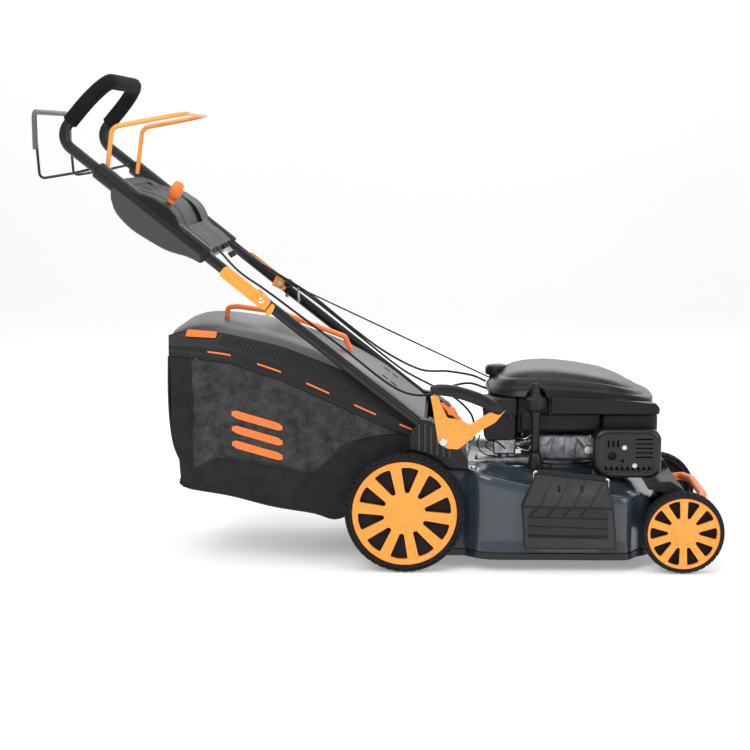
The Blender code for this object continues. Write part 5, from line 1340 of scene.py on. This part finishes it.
def make_starter():
    start_pt, hood_pt = at(*ROPE_GUIDE), at(*ROPE_HOOD)
    way = (hood_pt - start_pt).normalized()
    start, end = start_pt - way * 0.004, hood_pt + way * 0.208
    steps = 40
    bm = bmesh.new()
    for strand in range(3):
        path = []
        for i in range(steps * 8 + 1):
            t = i / (steps * 8)
            a = 2 * math.pi * (t * 52 + strand / 3)
            side = Vector((0, 1, 0))
            up = way.cross(side)
            path.append(start.lerp(end, t) + (side * math.cos(a) + up * math.sin(a)) * 0.0009)
        tube(path, 0.00118, 6, bm)
    put("pull_rope", bm, foam_rubber(), "starter_pull", "foam", "starter_rope", weld=False)
    hand = start - way * 0.0125
    rings = []
    for k in range(17):
        t = k / 16
        y = -0.032 + 0.064 * t
        r = (0.0112 * (1 - abs(2 * t - 1) ** 6) ** 0.5 * (0.90 + 0.10 * math.cos(4 * math.pi * t))
             if 0 < k < 16 else 0.002)
        rings.append((hand + Vector((0, y, 0)), max(r, 0.002)))
    bm = skin(swept_rings([p for p, _ in rings], [circle(r, 24) for _, r in rings]))
    tube([hand, start - way * 0.0004], 0.0068, 20, bm)
    put("pull_handle", bm, smooth_black(), "starter_pull", "black_plastic", "starter_grip", sharp=50)
    ring = start_pt + way * 0.012
    bm = bmesh.new()
    loop = []
    side = Vector((0, 1, 0))
    up = way.cross(side).normalized()
    for i in range(25):
        a = 2 * math.pi * i / 24
        loop.append(ring + (side * math.cos(a) + up * math.sin(a)) * 0.0060)
    tube(loop, 0.0021, 10, bm)
    tube_z = at_x([FOLD, FOOT], ring.x - SHIFT)
    post = Vector((ring.x, ring.y, ring.z - 0.006))
    tube(rounded([post, Vector((ring.x, ring.y, tube_z)), Vector((ring.x, TUBE_Y - TUBE_R, tube_z))],
                 0.006, 5), 0.0024, 12, bm)
    put("rope_eye", bm, bright_steel(), "chassis", "steel")


def make_cables():
    """The three control cables, their paths curving at the handle's fold."""
    runs = {
        "throttle": [(-0.443, -0.125, 0.748), (-0.387, -0.160, 0.694), (-0.326, -0.176, 0.653),
                     (-0.268, -0.178, 0.610), (-0.152, -0.182, 0.522), (-0.030, -0.180, 0.426),
                     (0.040, -0.160, 0.401), (0.100, -0.125, 0.415), (0.150, -0.095, 0.420),
                     (0.192, -0.070, 0.404)],
        "brake": [(-0.443, 0.090, 0.748), (-0.385, 0.096, 0.705), (-0.326, 0.098, 0.668),
                  (-0.240, 0.105, 0.612), (-0.150, 0.130, 0.535), (-0.060, 0.168, 0.462),
                  (0.030, 0.155, 0.418), (0.100, 0.120, 0.418), (0.160, 0.070, 0.415), (0.193, 0.045, 0.404)],
        "drive": [(-0.443, 0.150, 0.748), (-0.400, 0.175, 0.704), (-0.360, 0.1905, 0.676),
                  (-0.300, 0.1920, 0.634), (-0.230, 0.2060, 0.5815), (-0.120, 0.2146, 0.4910),
                  (-0.020, 0.2146, 0.4120), (0.050, 0.2060, 0.3740), (0.110, 0.180, 0.347),
                  (0.160, 0.160, 0.300), (0.168, 0.155, 0.2380)],
    }
    for name, points in runs.items():
        path = flowing([at(*p) for p in points], 0.006)
        bm = tube(path, 0.0027, 14)
        obj = put(f"{name}_cable_sleeve", bm, smooth_black(), None, None)
        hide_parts(f"{name}_cable")
        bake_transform(obj)


def make_height_lever():
    """V plate of the cutting-height lever and its curved grip."""
    y0, y1 = low("height_lever").y, low("height_lever").y + 0.004
    outline = [(0.124, 0.286), (0.177, 0.331), (0.209, 0.349), (0.2335, 0.379), (0.2180, 0.3655),
               (0.198, 0.3732), (0.179, 0.362), (0.150, 0.343), (0.130, 0.356), (0.099, 0.359),
               (0.084, 0.392), (0.078, 0.4108), (0.060, 0.4120), (0.066, 0.380), (0.078, 0.300),
               (0.098, 0.288)]
    plate = put("height_lever_plate", prism(arc2(outline, 0.005, 4), y0, y1), orange_plastic(),
                "height_lever", "orange", "height_lever")
    soften(plate, 0.0008, 2, 40)
    bm = turned([(0, y0 - 0.0005), (0.010, y0 - 0.0005), (0.010, y0 - 0.0028), (0.008, y0 - 0.0045),
                 (0, y0 - 0.0045)], "Y", at(0.090, 0, 0.303), 32)
    put("height_lever_pin", bm, bright_steel(), "height_lever", "steel")
    bm = turned([(0, y1 + 0.001), (0.0085, y1 + 0.001), (0.0105, y1 + 0.005), (0.0105, y1 + 0.011),
                 (0.007, y1 + 0.015), (0, y1 + 0.0155)], "Y", at(0.108, 0, 0.374), 24)
    tube([at(0.085, y1 + 0.006, 0.392), at(0.130, y1 + 0.006, 0.352)], 0.0052, 14, bm)
    put("height_lever_stop", bm, flame_plastic(), "height_lever", "orange")
    top = [(0.058, 0.437), (0.100, 0.437), (0.140, 0.429), (0.184, 0.413), (0.230, 0.386)]
    bottom = [(0.062, 0.413), (0.098, 0.410), (0.132, 0.402), (0.170, 0.388), (0.218, 0.367)]
    upper = flowing([(x, z, 0) for x, z in top], 0.006)
    count = len(upper)
    lower = flowing([(x, z, 0) for x, z in bottom], 0.006)
    rings = []
    y_mid = (y0 + y1) / 2
    for k in range(count):
        a = upper[k]
        b = lower[min(len(lower) - 1, round(k * (len(lower) - 1) / (count - 1)))]
        centre, reach = (a + b) / 2, (a - b) / 2
        end = min(1.0, 0.55 + 0.45 * ease(min(k, count - 1 - k) / 3))
        ring = []
        for i in range(28):
            t = 2 * math.pi * i / 28
            c, s = math.cos(t), math.sin(t)
            u = math.copysign(abs(c) ** 0.75, c) * 0.0118 * end
            v = math.copysign(abs(s) ** 0.75, s) * end
            ring.append(at(centre.x + reach.x * v, y_mid + u, centre.y + reach.y * v))
        rings.append(ring)
    put("height_lever_handle", skin(rings), smooth_black(), "height_lever", "grey_plastic",
        "height_lever_grip", sharp=50)


# ---- grass catcher ----------------------------------------------------------------------
RAIL_TOP = [(-0.548, 0.545), (-0.521, 0.558), (-0.423, 0.552), (-0.282, 0.519), (-0.138, 0.462),
            (-0.054, 0.415), (0.052, 0.334)]
RAIL_LOW = [(-0.548, 0.500), (-0.405, 0.481), (-0.284, 0.440), (-0.181, 0.393), (-0.068, 0.341),
            (0.052, 0.291)]
CATCHER_HALF = 0.199
CROWN_LINE = [(-0.538, 0.556), (-0.500, 0.572), (-0.450, 0.571), (-0.380, 0.564), (-0.300, 0.548),
              (-0.200, 0.513), (-0.138, 0.486), (-0.054, 0.435), (0.045, 0.352)]


def smooth_line(points, x, span=0.03):
    return sum(at_x(points, x + span * k / 4) for k in range(-4, 5)) / 9


def make_catcher_frame():
    """Black rails with a louvred upper band and orange inlays, joined by front and rear bars."""
    count = 60
    xs = [-0.548 + 0.600 * i / count for i in range(count + 1)]
    for side, sign in (("L", 1), ("R", -1)):
        rings = []
        for x in xs:
            top, foot = smooth_line(RAIL_TOP, x, 0.02), smooth_line(RAIL_LOW, x, 0.02)
            band = foot + (top - foot) * 0.46
            outer, inner = CATCHER_HALF, CATCHER_HALF - 0.012
            section = [(outer - 0.0015, foot), (outer, foot + 0.002), (outer, foot + 0.012),
                       (outer - 0.0012, foot + 0.0135), (outer - 0.0012, band - 0.002), (outer, band),
                       (outer - 0.0028, band + 0.004), (outer - 0.0040, top - 0.003),
                       (outer - 0.0060, top - 0.0004), (inner, top - 0.0004), (inner, foot)]
            rings.append([at(x, sign * y, z) for y, z in section])
        put(f"catcher_rail_{side}", skin(rings), black_plastic(), "catcher", "black_plastic",
            "catcher_frame" if side == "L" else (), sharp=40)
        bm = bmesh.new()
        for k in range(30):
            x = -0.425 + 0.0092 * k
            top, foot = smooth_line(RAIL_TOP, x), smooth_line(RAIL_LOW, x)
            band = foot + (top - foot) * 0.46
            z0, z1 = band + (top - band) * 0.30, band + (top - band) * 0.84
            y = sign * (CATCHER_HALF - 0.0030)
            tube([at(x - 0.006, y, z0), at(x + 0.008, y - sign * 0.0008, z1)], 0.0017, 6, bm)
        put(f"catcher_louvres_{side}", bm, smooth_black(), "catcher", "black_plastic")
        bm = bmesh.new()
        for x0, x1 in ((-0.457, -0.403), (-0.342, -0.287), (-0.228, -0.175), (-0.117, -0.067),
                       (-0.012, 0.037)):
            rings = []
            for i in range(7):
                x = x0 + (x1 - x0) * i / 6
                foot = smooth_line(RAIL_LOW, x, 0.02)
                z = foot + 0.021
                y0, y1 = sign * (CATCHER_HALF - 0.004), sign * (CATCHER_HALF + 0.0002)
                rings.append([at(x, y0, z - 0.0020), at(x, y1, z - 0.0020), at(x, y1, z + 0.0020),
                              at(x, y0, z + 0.0020)])
            skin(rings, bm=bm)
        put(f"catcher_inlays_{side}", bm, flame_plastic(), "catcher", "orange")
    inside = CATCHER_HALF - 0.012
    rear_bar = [(-0.548, 0.500), (-0.548, 0.5445), (-0.5205, 0.5575), (-0.5205, 0.4965)]
    front_bar = [(0.031, 0.3005), (0.0515, 0.2915), (0.0515, 0.3335), (0.031, 0.3495)]
    for name, outline in (("catcher_rear_bar", rear_bar), ("catcher_front_bar", front_bar)):
        soften(put(name, prism(outline, -inside, inside), black_plastic(), "catcher", "black_plastic"),
               0.003, 3)
    plate = prism(arc2([(-0.508, 0.545), (-0.503, 0.561), (-0.434, 0.5555), (-0.437, 0.541)], 0.003, 3),
                  -CATCHER_HALF - 0.0006, -CATCHER_HALF + 0.006)
    soften(put("catcher_hook_plate", plate, flame_plastic(), "catcher", "orange"), 0.0008, 2)


def make_catcher_lid():
    """Crowned grey lid with a rolled edge, small vents at its front and a carrying handle."""
    half = CATCHER_HALF - 0.0082
    count = 70
    xs = [-0.538 + 0.583 * i / count for i in range(count + 1)]
    def ring(x, wall):
        top = smooth_line(CROWN_LINE, x, 0.03) - wall
        foot = smooth_line(RAIL_TOP, x, 0.02) + 0.0006
        points = []
        for i in range(33):
            t = -1 + 2 * i / 32
            y = t * (half - wall)
            z = foot + max(0.001, (top - foot)) * (1 - abs(t) ** 5.0) ** 0.6
            points.append(at(x, y, z))
        return points, foot
    rings = []
    for k, x in enumerate(xs):
        points, foot = ring(x, 0.0)
        end = min(k, count - k)
        drop = 1 - 0.35 * (1 - ease(end / 3))
        for p in points:
            p.z = foot + (p.z - foot) * drop
        points += [at(x, half * (1 - 2 * i / 8), foot - 0.0002) for i in range(1, 8)]
        rings.append(points)
    lid = put("catcher_cover", skin(rings), lid_plastic(), None, None, sharp=50)
    vents = []
    for x in (-0.050, -0.030):
        z = smooth_line(CROWN_LINE, x)
        vents.append(guide(block(x - 0.007, x + 0.007, -0.075, -0.055, z - 0.012, z + 0.02)))
        vents.append(guide(block(x - 0.007, x + 0.007, 0.055, 0.075, z - 0.012, z + 0.02)))
    carve(lid, vents)
    reshade(lid, 50)
    fit(lid, "catcher", "lid_plastic", "catcher_lid")
    rise = [(-0.437, 0.5645), (-0.434, 0.5925), (-0.410, 0.5945), (-0.306, 0.580), (-0.150, 0.520),
            (-0.135, 0.4855)]
    path = rounded([at(x, 0.0, z) for x, z in rise], [0.008, 0.01, 0.06, 0.012], 8)
    section = [(p.x, p.y) for p in arc2([(-0.0118, -0.0054), (0.0118, -0.0054), (0.0118, 0.0054),
                                         (-0.0118, 0.0054)], 0.004, 4)]
    put("carry_handle", skin(swept_rings(path, [section] * len(path))), flame_plastic(), "catcher",
        "orange", "catcher_handle", sharp=50)


BAG_REAR_X = -0.5455                     # where a side's cloth starts
BAG_LONG = 0.5905                        # a side as cut: its length
CLOTH_T = 0.0012
BAG_LOW = [(-0.548, 0.4985), (-0.550, 0.42), (-0.548, 0.346), (-0.540, 0.288), (-0.525, 0.248),
           (-0.522, 0.218), (-0.528, 0.198), (-0.505, 0.186), (-0.46, 0.178), (-0.404, 0.168),
           (-0.309, 0.144), (-0.214, 0.128), (-0.165, 0.114), (-0.120, 0.130), (-0.072, 0.152),
           (-0.046, 0.176), (-0.043, 0.215), (-0.043, 0.2625)]


SEAM = [(-0.516, 0.208), (-0.497, 0.225), (-0.44, 0.258), (-0.40, 0.256), (-0.30, 0.238), (-0.22, 0.225),
        (-0.185, 0.245), (-0.15, 0.285), (-0.10, 0.305), (-0.02, 0.318), (0.05, 0.33)]


def make_bag():
    """Cloth bag: a lower and rear wrap, two mesh sides with creases, piping and stripes."""
    outline = flowing([(x, z, 0) for x, z in BAG_LOW], 0.012)
    depth = sizes().bag_wrinkle
    half = CATCHER_HALF - 0.001

    def crease(p, seed, size=9.0):
        return noise.noise(Vector((p.x * size, p.y * size * 0.6 + seed, p.z * size))) \
            + 0.5 * noise.noise(Vector((p.x * size * 2.3 + 5, p.y * size * 2 + seed, p.z * size * 2.3)))
    rings = []
    across = 36
    for k, p in enumerate(outline):
        a, b = outline[max(k - 1, 0)], outline[min(k + 1, len(outline) - 1)]
        ahead = (b - a).normalized()
        out = Vector((-ahead.y, ahead.x)) * -1
        if k and out.y > 0.3 and p.y < 0.2:
            out = -out
        ring = []
        hold = ease(min(k, len(outline) - 1 - k) / 5)
        for i in range(across + 1):
            t = -1 + 2 * i / across
            spot = at(p.x, t * half, p.y)
            belly = 0.006 * (1 - t * t) * hold
            push = belly + depth * 0.9 * crease(spot, 3.1) * hold * (1 - abs(t) ** 8)
            ring.append(Vector((spot.x + out.x * push, spot.y, spot.z + out.y * push)))
        rings.append(ring)
    bm = bmesh.new()
    rows = [[bm.verts.new(p) for p in ring] for ring in rings]
    for one, two in zip(rows, rows[1:]):
        for i in range(across):
            bm.faces.new((one[i], one[i + 1], two[i + 1], two[i]))
    canvas = cloth_finish("bag canvas", (0.016, 0.016, 0.0165), (0.030, 0.030, 0.031), 0.0026)
    wrap = put("bag_wrap", bm, canvas, "catcher", "cloth", "catcher_bag", sharp=60)
    thick = wrap.modifiers.new("Thickness", "SOLIDIFY")
    thick.thickness = CLOTH_T
    thick.offset = 1.0

    def foot_of(x):
        """Lowest Z of the bag's side at X, from the outline's underside."""
        best = 9.0
        for a, b in zip(outline, outline[1:]):
            if min(a.x, b.x) <= x <= max(a.x, b.x) and abs(a.x - b.x) > 1e-6:
                t = (x - a.x) / (b.x - a.x)
                best = min(best, a.y + (b.y - a.y) * t)
        return best

    def side_point(u, v, sign):
        x = BAG_REAR_X + BAG_LONG * u
        top = smooth_line(RAIL_LOW, x, 0.02) - 0.0008
        if x > -0.0435:
            bottom = 0.262 + (x + 0.0435) * 0.28
        else:
            bottom = foot_of(x)
        bottom = min(bottom, top - 0.004)
        z = bottom + (top - bottom) * v
        edge = ease(min(u, 1 - u) * 14) * ease(min(v, 1 - v) * 9)
        folds = crease(Vector((x, 0, z * 0.45)), 11.0 * sign,
                       12.0) + 0.7 * noise.noise(Vector((x * 26, sign * 3, z * 7)))
        push = edge * (0.0008 + depth * folds) - 0.0022 * edge
        return at(x, sign * (half + min(push, 0.004)), z)
    mesh_cloth = cloth_finish("bag mesh", (0.022, 0.0225, 0.0235), (0.085, 0.086, 0.088), 0.0022)
    for side, sign in (("L", 1), ("R", -1)):
        bm = bmesh.new()
        nu, nv = 150, 60
        rows = [[bm.verts.new(side_point(i / nu, j / nv, sign)) for j in range(nv + 1)]
                for i in range(nu + 1)]
        for one, two in zip(rows, rows[1:]):
            for j in range(nv):
                face = bm.faces.new((one[j], one[j + 1], two[j + 1], two[j]))
                spot = face.calc_center_median()
                x = spot.x - SHIFT
                face.material_index = 1 if x < -0.497 or spot.z < at_x(SEAM, x) else 0
        cloth = sum((side_point((i + 0.5) / nu, 1, sign).z - side_point((i + 0.5) / nu, 0, sign).z)
                    for i in range(nu))
        obj = put(f"bag_side_{side}", bm, [mesh_cloth, canvas], "catcher", "cloth", (), sharp=60, weld=True)
        thick = obj.modifiers.new("Thickness", "SOLIDIFY")
        thick.thickness = CLOTH_T
        thick.offset = 0.0
        seam = [Vector((p.x + SHIFT, sign * (half - 0.0005), p.y)) for p in outline]
        bm = tube(seam, 0.0026, 10)
        join = [at(x, sign * (half - 0.0006), z + 0.001) for x, z in SEAM if x < 0.03]
        tube(flowing([Vector((p.x, p.y, p.z)) for p in join], 0.01), 0.0022, 8, bm)
        tube([at(-0.497, sign * (half - 0.0006), z) for z in (0.222, 0.30, 0.38, 0.485)], 0.0022, 8, bm)
        piping = put(f"bag_piping_{side}", bm, smooth_black(), "catcher", "cloth")
        bm = bmesh.new()
        for k in range(3):
            v0 = 0.40 + 0.115 * k
            rings = []
            for i in range(25):
                u = 0.24 + 0.20 * i / 24
                ends = 0.030 * (1 - (1 - ease(min(i, 24 - i) / 2.2)) * 0.5)
                line = []
                for v, lift in ((v0 - ends, 0.0004), (v0 - ends, 0.0013), (v0 + ends, 0.0013),
                                (v0 + ends, 0.0004)):
                    p = side_point(u, v, sign)
                    line.append(p + Vector((0, sign * lift, 0)))
                rings.append(line)
            skin(rings, bm=bm)
        stripes = put(f"bag_stripes_{side}", bm, flame_plastic(), "catcher", "orange")


# ---- nodes that keep their own shape -----------------------------------------------------
def dress_nodes():
    finishes = {"black_plastic": black_plastic, "grey_plastic": grey_plastic, "black_paint": black_paint,
                "steel": bright_steel, "aluminium": cast_aluminium, "tyre": tyre_rubber,
                "orange": orange_plastic, "foam": foam_rubber, "deck_paint": deck_paint,
                "bail_grey": bail_sleeve, "bail_orange": orange_paint, "cloth": black_plastic,
                "lid_plastic": lid_plastic, }
    for row in frame["record"]["subparts"]:
        node = frame["nodes"][row["node"]]
        mat = finishes[row["material_slot"]]()
        node.data.materials.clear()
        node.data.materials.append(mat)


# ---- stage ------------------------------------------------------------------------------
def make_stage():
    floor_mat = finish("pale floor", (0.88, 0.88, 0.88), 0.7, grain=0.0, vary=0.01, patch=0.5, spec=0.2)
    shader = floor_mat.node_tree.nodes["Principled BSDF"]
    shader.inputs["Emission Color"].default_value = (1.0, 1.0, 1.0, 1.0)
    shader.inputs["Emission Strength"].default_value = 0.27
    mesh = bpy.data.meshes.new("floor")
    bm = bmesh.new()
    far, near, wide, tall = 6.0, -7.0, 9.0, 5.0
    bend = 1.6
    line = [(near, 0.0)] + [(far - bend + bend * math.sin(a), bend - bend * math.cos(a))
                            for a in [math.pi / 2 * i / 16 for i in range(17)]] + [(far, tall)]
    rows = [[bm.verts.new((x, y, z)) for y, z in line] for x in (-wide, wide)]
    for k in range(len(line) - 1):
        bm.faces.new((rows[0][k], rows[1][k], rows[1][k + 1], rows[0][k + 1]))
    bm.to_mesh(mesh)
    bm.free()
    mesh.shade_smooth()
    mesh.materials.append(floor_mat)
    floor = bpy.data.objects.new("floor", mesh)
    bpy.context.collection.objects.link(floor)

    world = bpy.data.worlds.new("studio")
    bpy.context.scene.world = world
    world.use_nodes = True
    world.node_tree.nodes["Background"].inputs["Color"].default_value = (1.0, 1.0, 1.0, 1.0)
    world.node_tree.nodes["Background"].inputs["Strength"].default_value = 0.50
    target = Vector((0.0, 0.0, 0.4))
    for name, place, size, power in (("key", (-1.4, -3.2, 3.4), 2.6, 105.0),
                                     ("fill", (3.0, -2.4, 1.8), 2.2, 45.0),
                                     ("top", (0.2, 0.2, 3.6), 3.0, 45.0),
                                     ("back", (0.5, 3.2, 2.4), 2.6, 25.0)):
        light = bpy.data.lights.new(name, "AREA")
        light.energy = power
        light.size = size
        lamp = bpy.data.objects.new(name, light)
        lamp.location = place
        lamp.rotation_euler = (target - Vector(place)).to_track_quat("-Z", "Y").to_euler()
        bpy.context.collection.objects.link(lamp)

    cam = bpy.data.cameras.new("camera")
    cam.sensor_width = 36.0
    cam.lens = 78.16
    cam.clip_end = 60.0
    eye = bpy.data.objects.new("camera", cam)
    pitch, yaw, roll = math.radians(8.2285), math.radians(2.5866), math.radians(-0.3675)
    ahead = Vector((-math.sin(yaw) * math.cos(pitch), math.cos(yaw) * math.cos(pitch), -math.sin(pitch)))
    right = ahead.cross(Vector((0, 0, 1))).normalized()
    up = right.cross(ahead)
    turned_right = right * math.cos(roll) + up * math.sin(roll)
    turned_up = up * math.cos(roll) - right * math.sin(roll)
    basis = Matrix((turned_right, turned_up, -ahead)).transposed().to_4x4()
    eye.matrix_world = Matrix.Translation(at(0.09996, -3.9246, 0.9938)) @ basis
    bpy.context.collection.objects.link(eye)
    bpy.context.scene.camera = eye
    bpy.context.scene.view_settings.view_transform = "Standard"


# ---- operators --------------------------------------------------------------------------
class MOWER_OT_stage(bpy.types.Operator):
    """Floor, soft studio lights and the camera"""
    bl_idname = "mower.stage"
    bl_label = "Studio stage"

    def execute(self, context):
        make_stage()
        return {"FINISHED"}


class MOWER_OT_nodes(bpy.types.Operator):
    """Finishes for the frame's own nodes"""
    bl_idname = "mower.nodes"
    bl_label = "Frame finishes"

    def execute(self, context):
        dress_nodes()
        return {"FINISHED"}


class MOWER_OT_wheels(bpy.types.Operator):
    """Four lugged tyres with their spoked discs"""
    bl_idname = "mower.wheels"
    bl_label = "Wheels"

    def execute(self, context):
        for side in ("L", "R"):
            make_tyre("rear", side, sizes().rear_lugs)
            make_tyre("front", side, sizes().front_lugs)
            make_disc("rear", side)
            make_disc("front", side)
        return {"FINISHED"}


class MOWER_OT_deck(bpy.types.Operator):
    """Pressed steel deck with its rolled lip"""
    bl_idname = "mower.deck"
    bl_label = "Deck"

    def execute(self, context):
        make_deck()
        return {"FINISHED"}


class MOWER_OT_flap(bpy.types.Operator):
    """Side discharge flap"""
    bl_idname = "mower.flap"
    bl_label = "Discharge flap"

    def execute(self, context):
        make_flap()
        return {"FINISHED"}


class MOWER_OT_front(bpy.types.Operator):
    """Front axle housing and lift bar"""
    bl_idname = "mower.front"
    bl_label = "Front end"

    def execute(self, context):
        make_front_end()
        return {"FINISHED"}


class MOWER_OT_hood(bpy.types.Operator):
    """Engine hood and fuel cap"""
    bl_idname = "mower.hood"
    bl_label = "Engine hood"

    def execute(self, context):
        make_hood()
        return {"FINISHED"}


class MOWER_OT_engine(bpy.types.Operator):
    """Crankcase, cylinder, carburettor, air filter, oil filler and tank"""
    bl_idname = "mower.engine"
    bl_label = "Engine"

    def execute(self, context):
        make_block()
        make_air_and_oil()
        return {"FINISHED"}


class MOWER_OT_exhaust(bpy.types.Operator):
    """Muffler and its guard"""
    bl_idname = "mower.exhaust"
    bl_label = "Exhaust"

    def execute(self, context):
        make_exhaust()
        return {"FINISHED"}


class MOWER_OT_handle(bpy.types.Operator):
    """Handle tubes, foam grip, bracket ribs and clamps"""
    bl_idname = "mower.handle"
    bl_label = "Handle"

    def execute(self, context):
        make_tubes()
        make_brackets()
        make_clamps()
        return {"FINISHED"}


class MOWER_OT_bails(bpy.types.Operator):
    """Drive bail and brake bail"""
    bl_idname = "mower.bails"
    bl_label = "Bails"

    def execute(self, context):
        make_bails()
        return {"FINISHED"}


class MOWER_OT_console(bpy.types.Operator):
    """Console pod and throttle lever"""
    bl_idname = "mower.console"
    bl_label = "Console"

    def execute(self, context):
        make_console()
        make_throttle()
        return {"FINISHED"}


class MOWER_OT_cables(bpy.types.Operator):
    """Control cables, starter rope and its grip"""
    bl_idname = "mower.cables"
    bl_label = "Cables and rope"

    def execute(self, context):
        make_cables()
        make_starter()
        return {"FINISHED"}


class MOWER_OT_height_lever(bpy.types.Operator):
    """Cutting-height lever"""
    bl_idname = "mower.height_lever"
    bl_label = "Height lever"

    def execute(self, context):
        make_height_lever()
        return {"FINISHED"}


class MOWER_OT_catcher(bpy.types.Operator):
    """Catcher frame, lid and carrying handle"""
    bl_idname = "mower.catcher"
    bl_label = "Catcher frame and lid"

    def execute(self, context):
        make_catcher_frame()
        make_catcher_lid()
        return {"FINISHED"}


class MOWER_OT_bag(bpy.types.Operator):
    """Cloth bag of the catcher"""
    bl_idname = "mower.bag"
    bl_label = "Catcher bag"

    def execute(self, context):
        make_bag()
        return {"FINISHED"}


OPERATORS = (MOWER_OT_stage, MOWER_OT_nodes, MOWER_OT_wheels, MOWER_OT_deck, MOWER_OT_flap, MOWER_OT_front,
             MOWER_OT_hood, MOWER_OT_engine, MOWER_OT_exhaust, MOWER_OT_handle, MOWER_OT_bails,
             MOWER_OT_console, MOWER_OT_cables, MOWER_OT_height_lever, MOWER_OT_catcher, MOWER_OT_bag)


class MOWER_PT_panel(bpy.types.Panel):
    """Lists the mower's pieces"""
    bl_idname = "MOWER_PT_panel"
    bl_label = "Lawn mower"
    bl_space_type = "VIEW_3D"
    bl_region_type = "UI"
    bl_category = "Mower"

    def draw(self, context):
        for group in (context.scene.mower_sizes, context.scene.mower_colours):
            for name in group.__annotations__:
                self.layout.prop(group, name)
        for op in OPERATORS:
            self.layout.operator(op.bl_idname)


CLASSES = (MowerColours, MowerSizes, *OPERATORS, MOWER_PT_panel)


def register():
    for cls in CLASSES:
        bpy.utils.register_class(cls)
    bpy.types.Scene.mower_colours = bpy.props.PointerProperty(type=MowerColours)
    bpy.types.Scene.mower_sizes = bpy.props.PointerProperty(type=MowerSizes)


def unregister():
    del bpy.types.Scene.mower_sizes
    del bpy.types.Scene.mower_colours
    for cls in reversed(CLASSES):
        bpy.utils.unregister_class(cls)


def main():
    register()
    for op in OPERATORS:
        area, name = op.bl_idname.split(".")
        getattr(getattr(bpy.ops, area), name)()


if __name__ == "__main__":
    main()
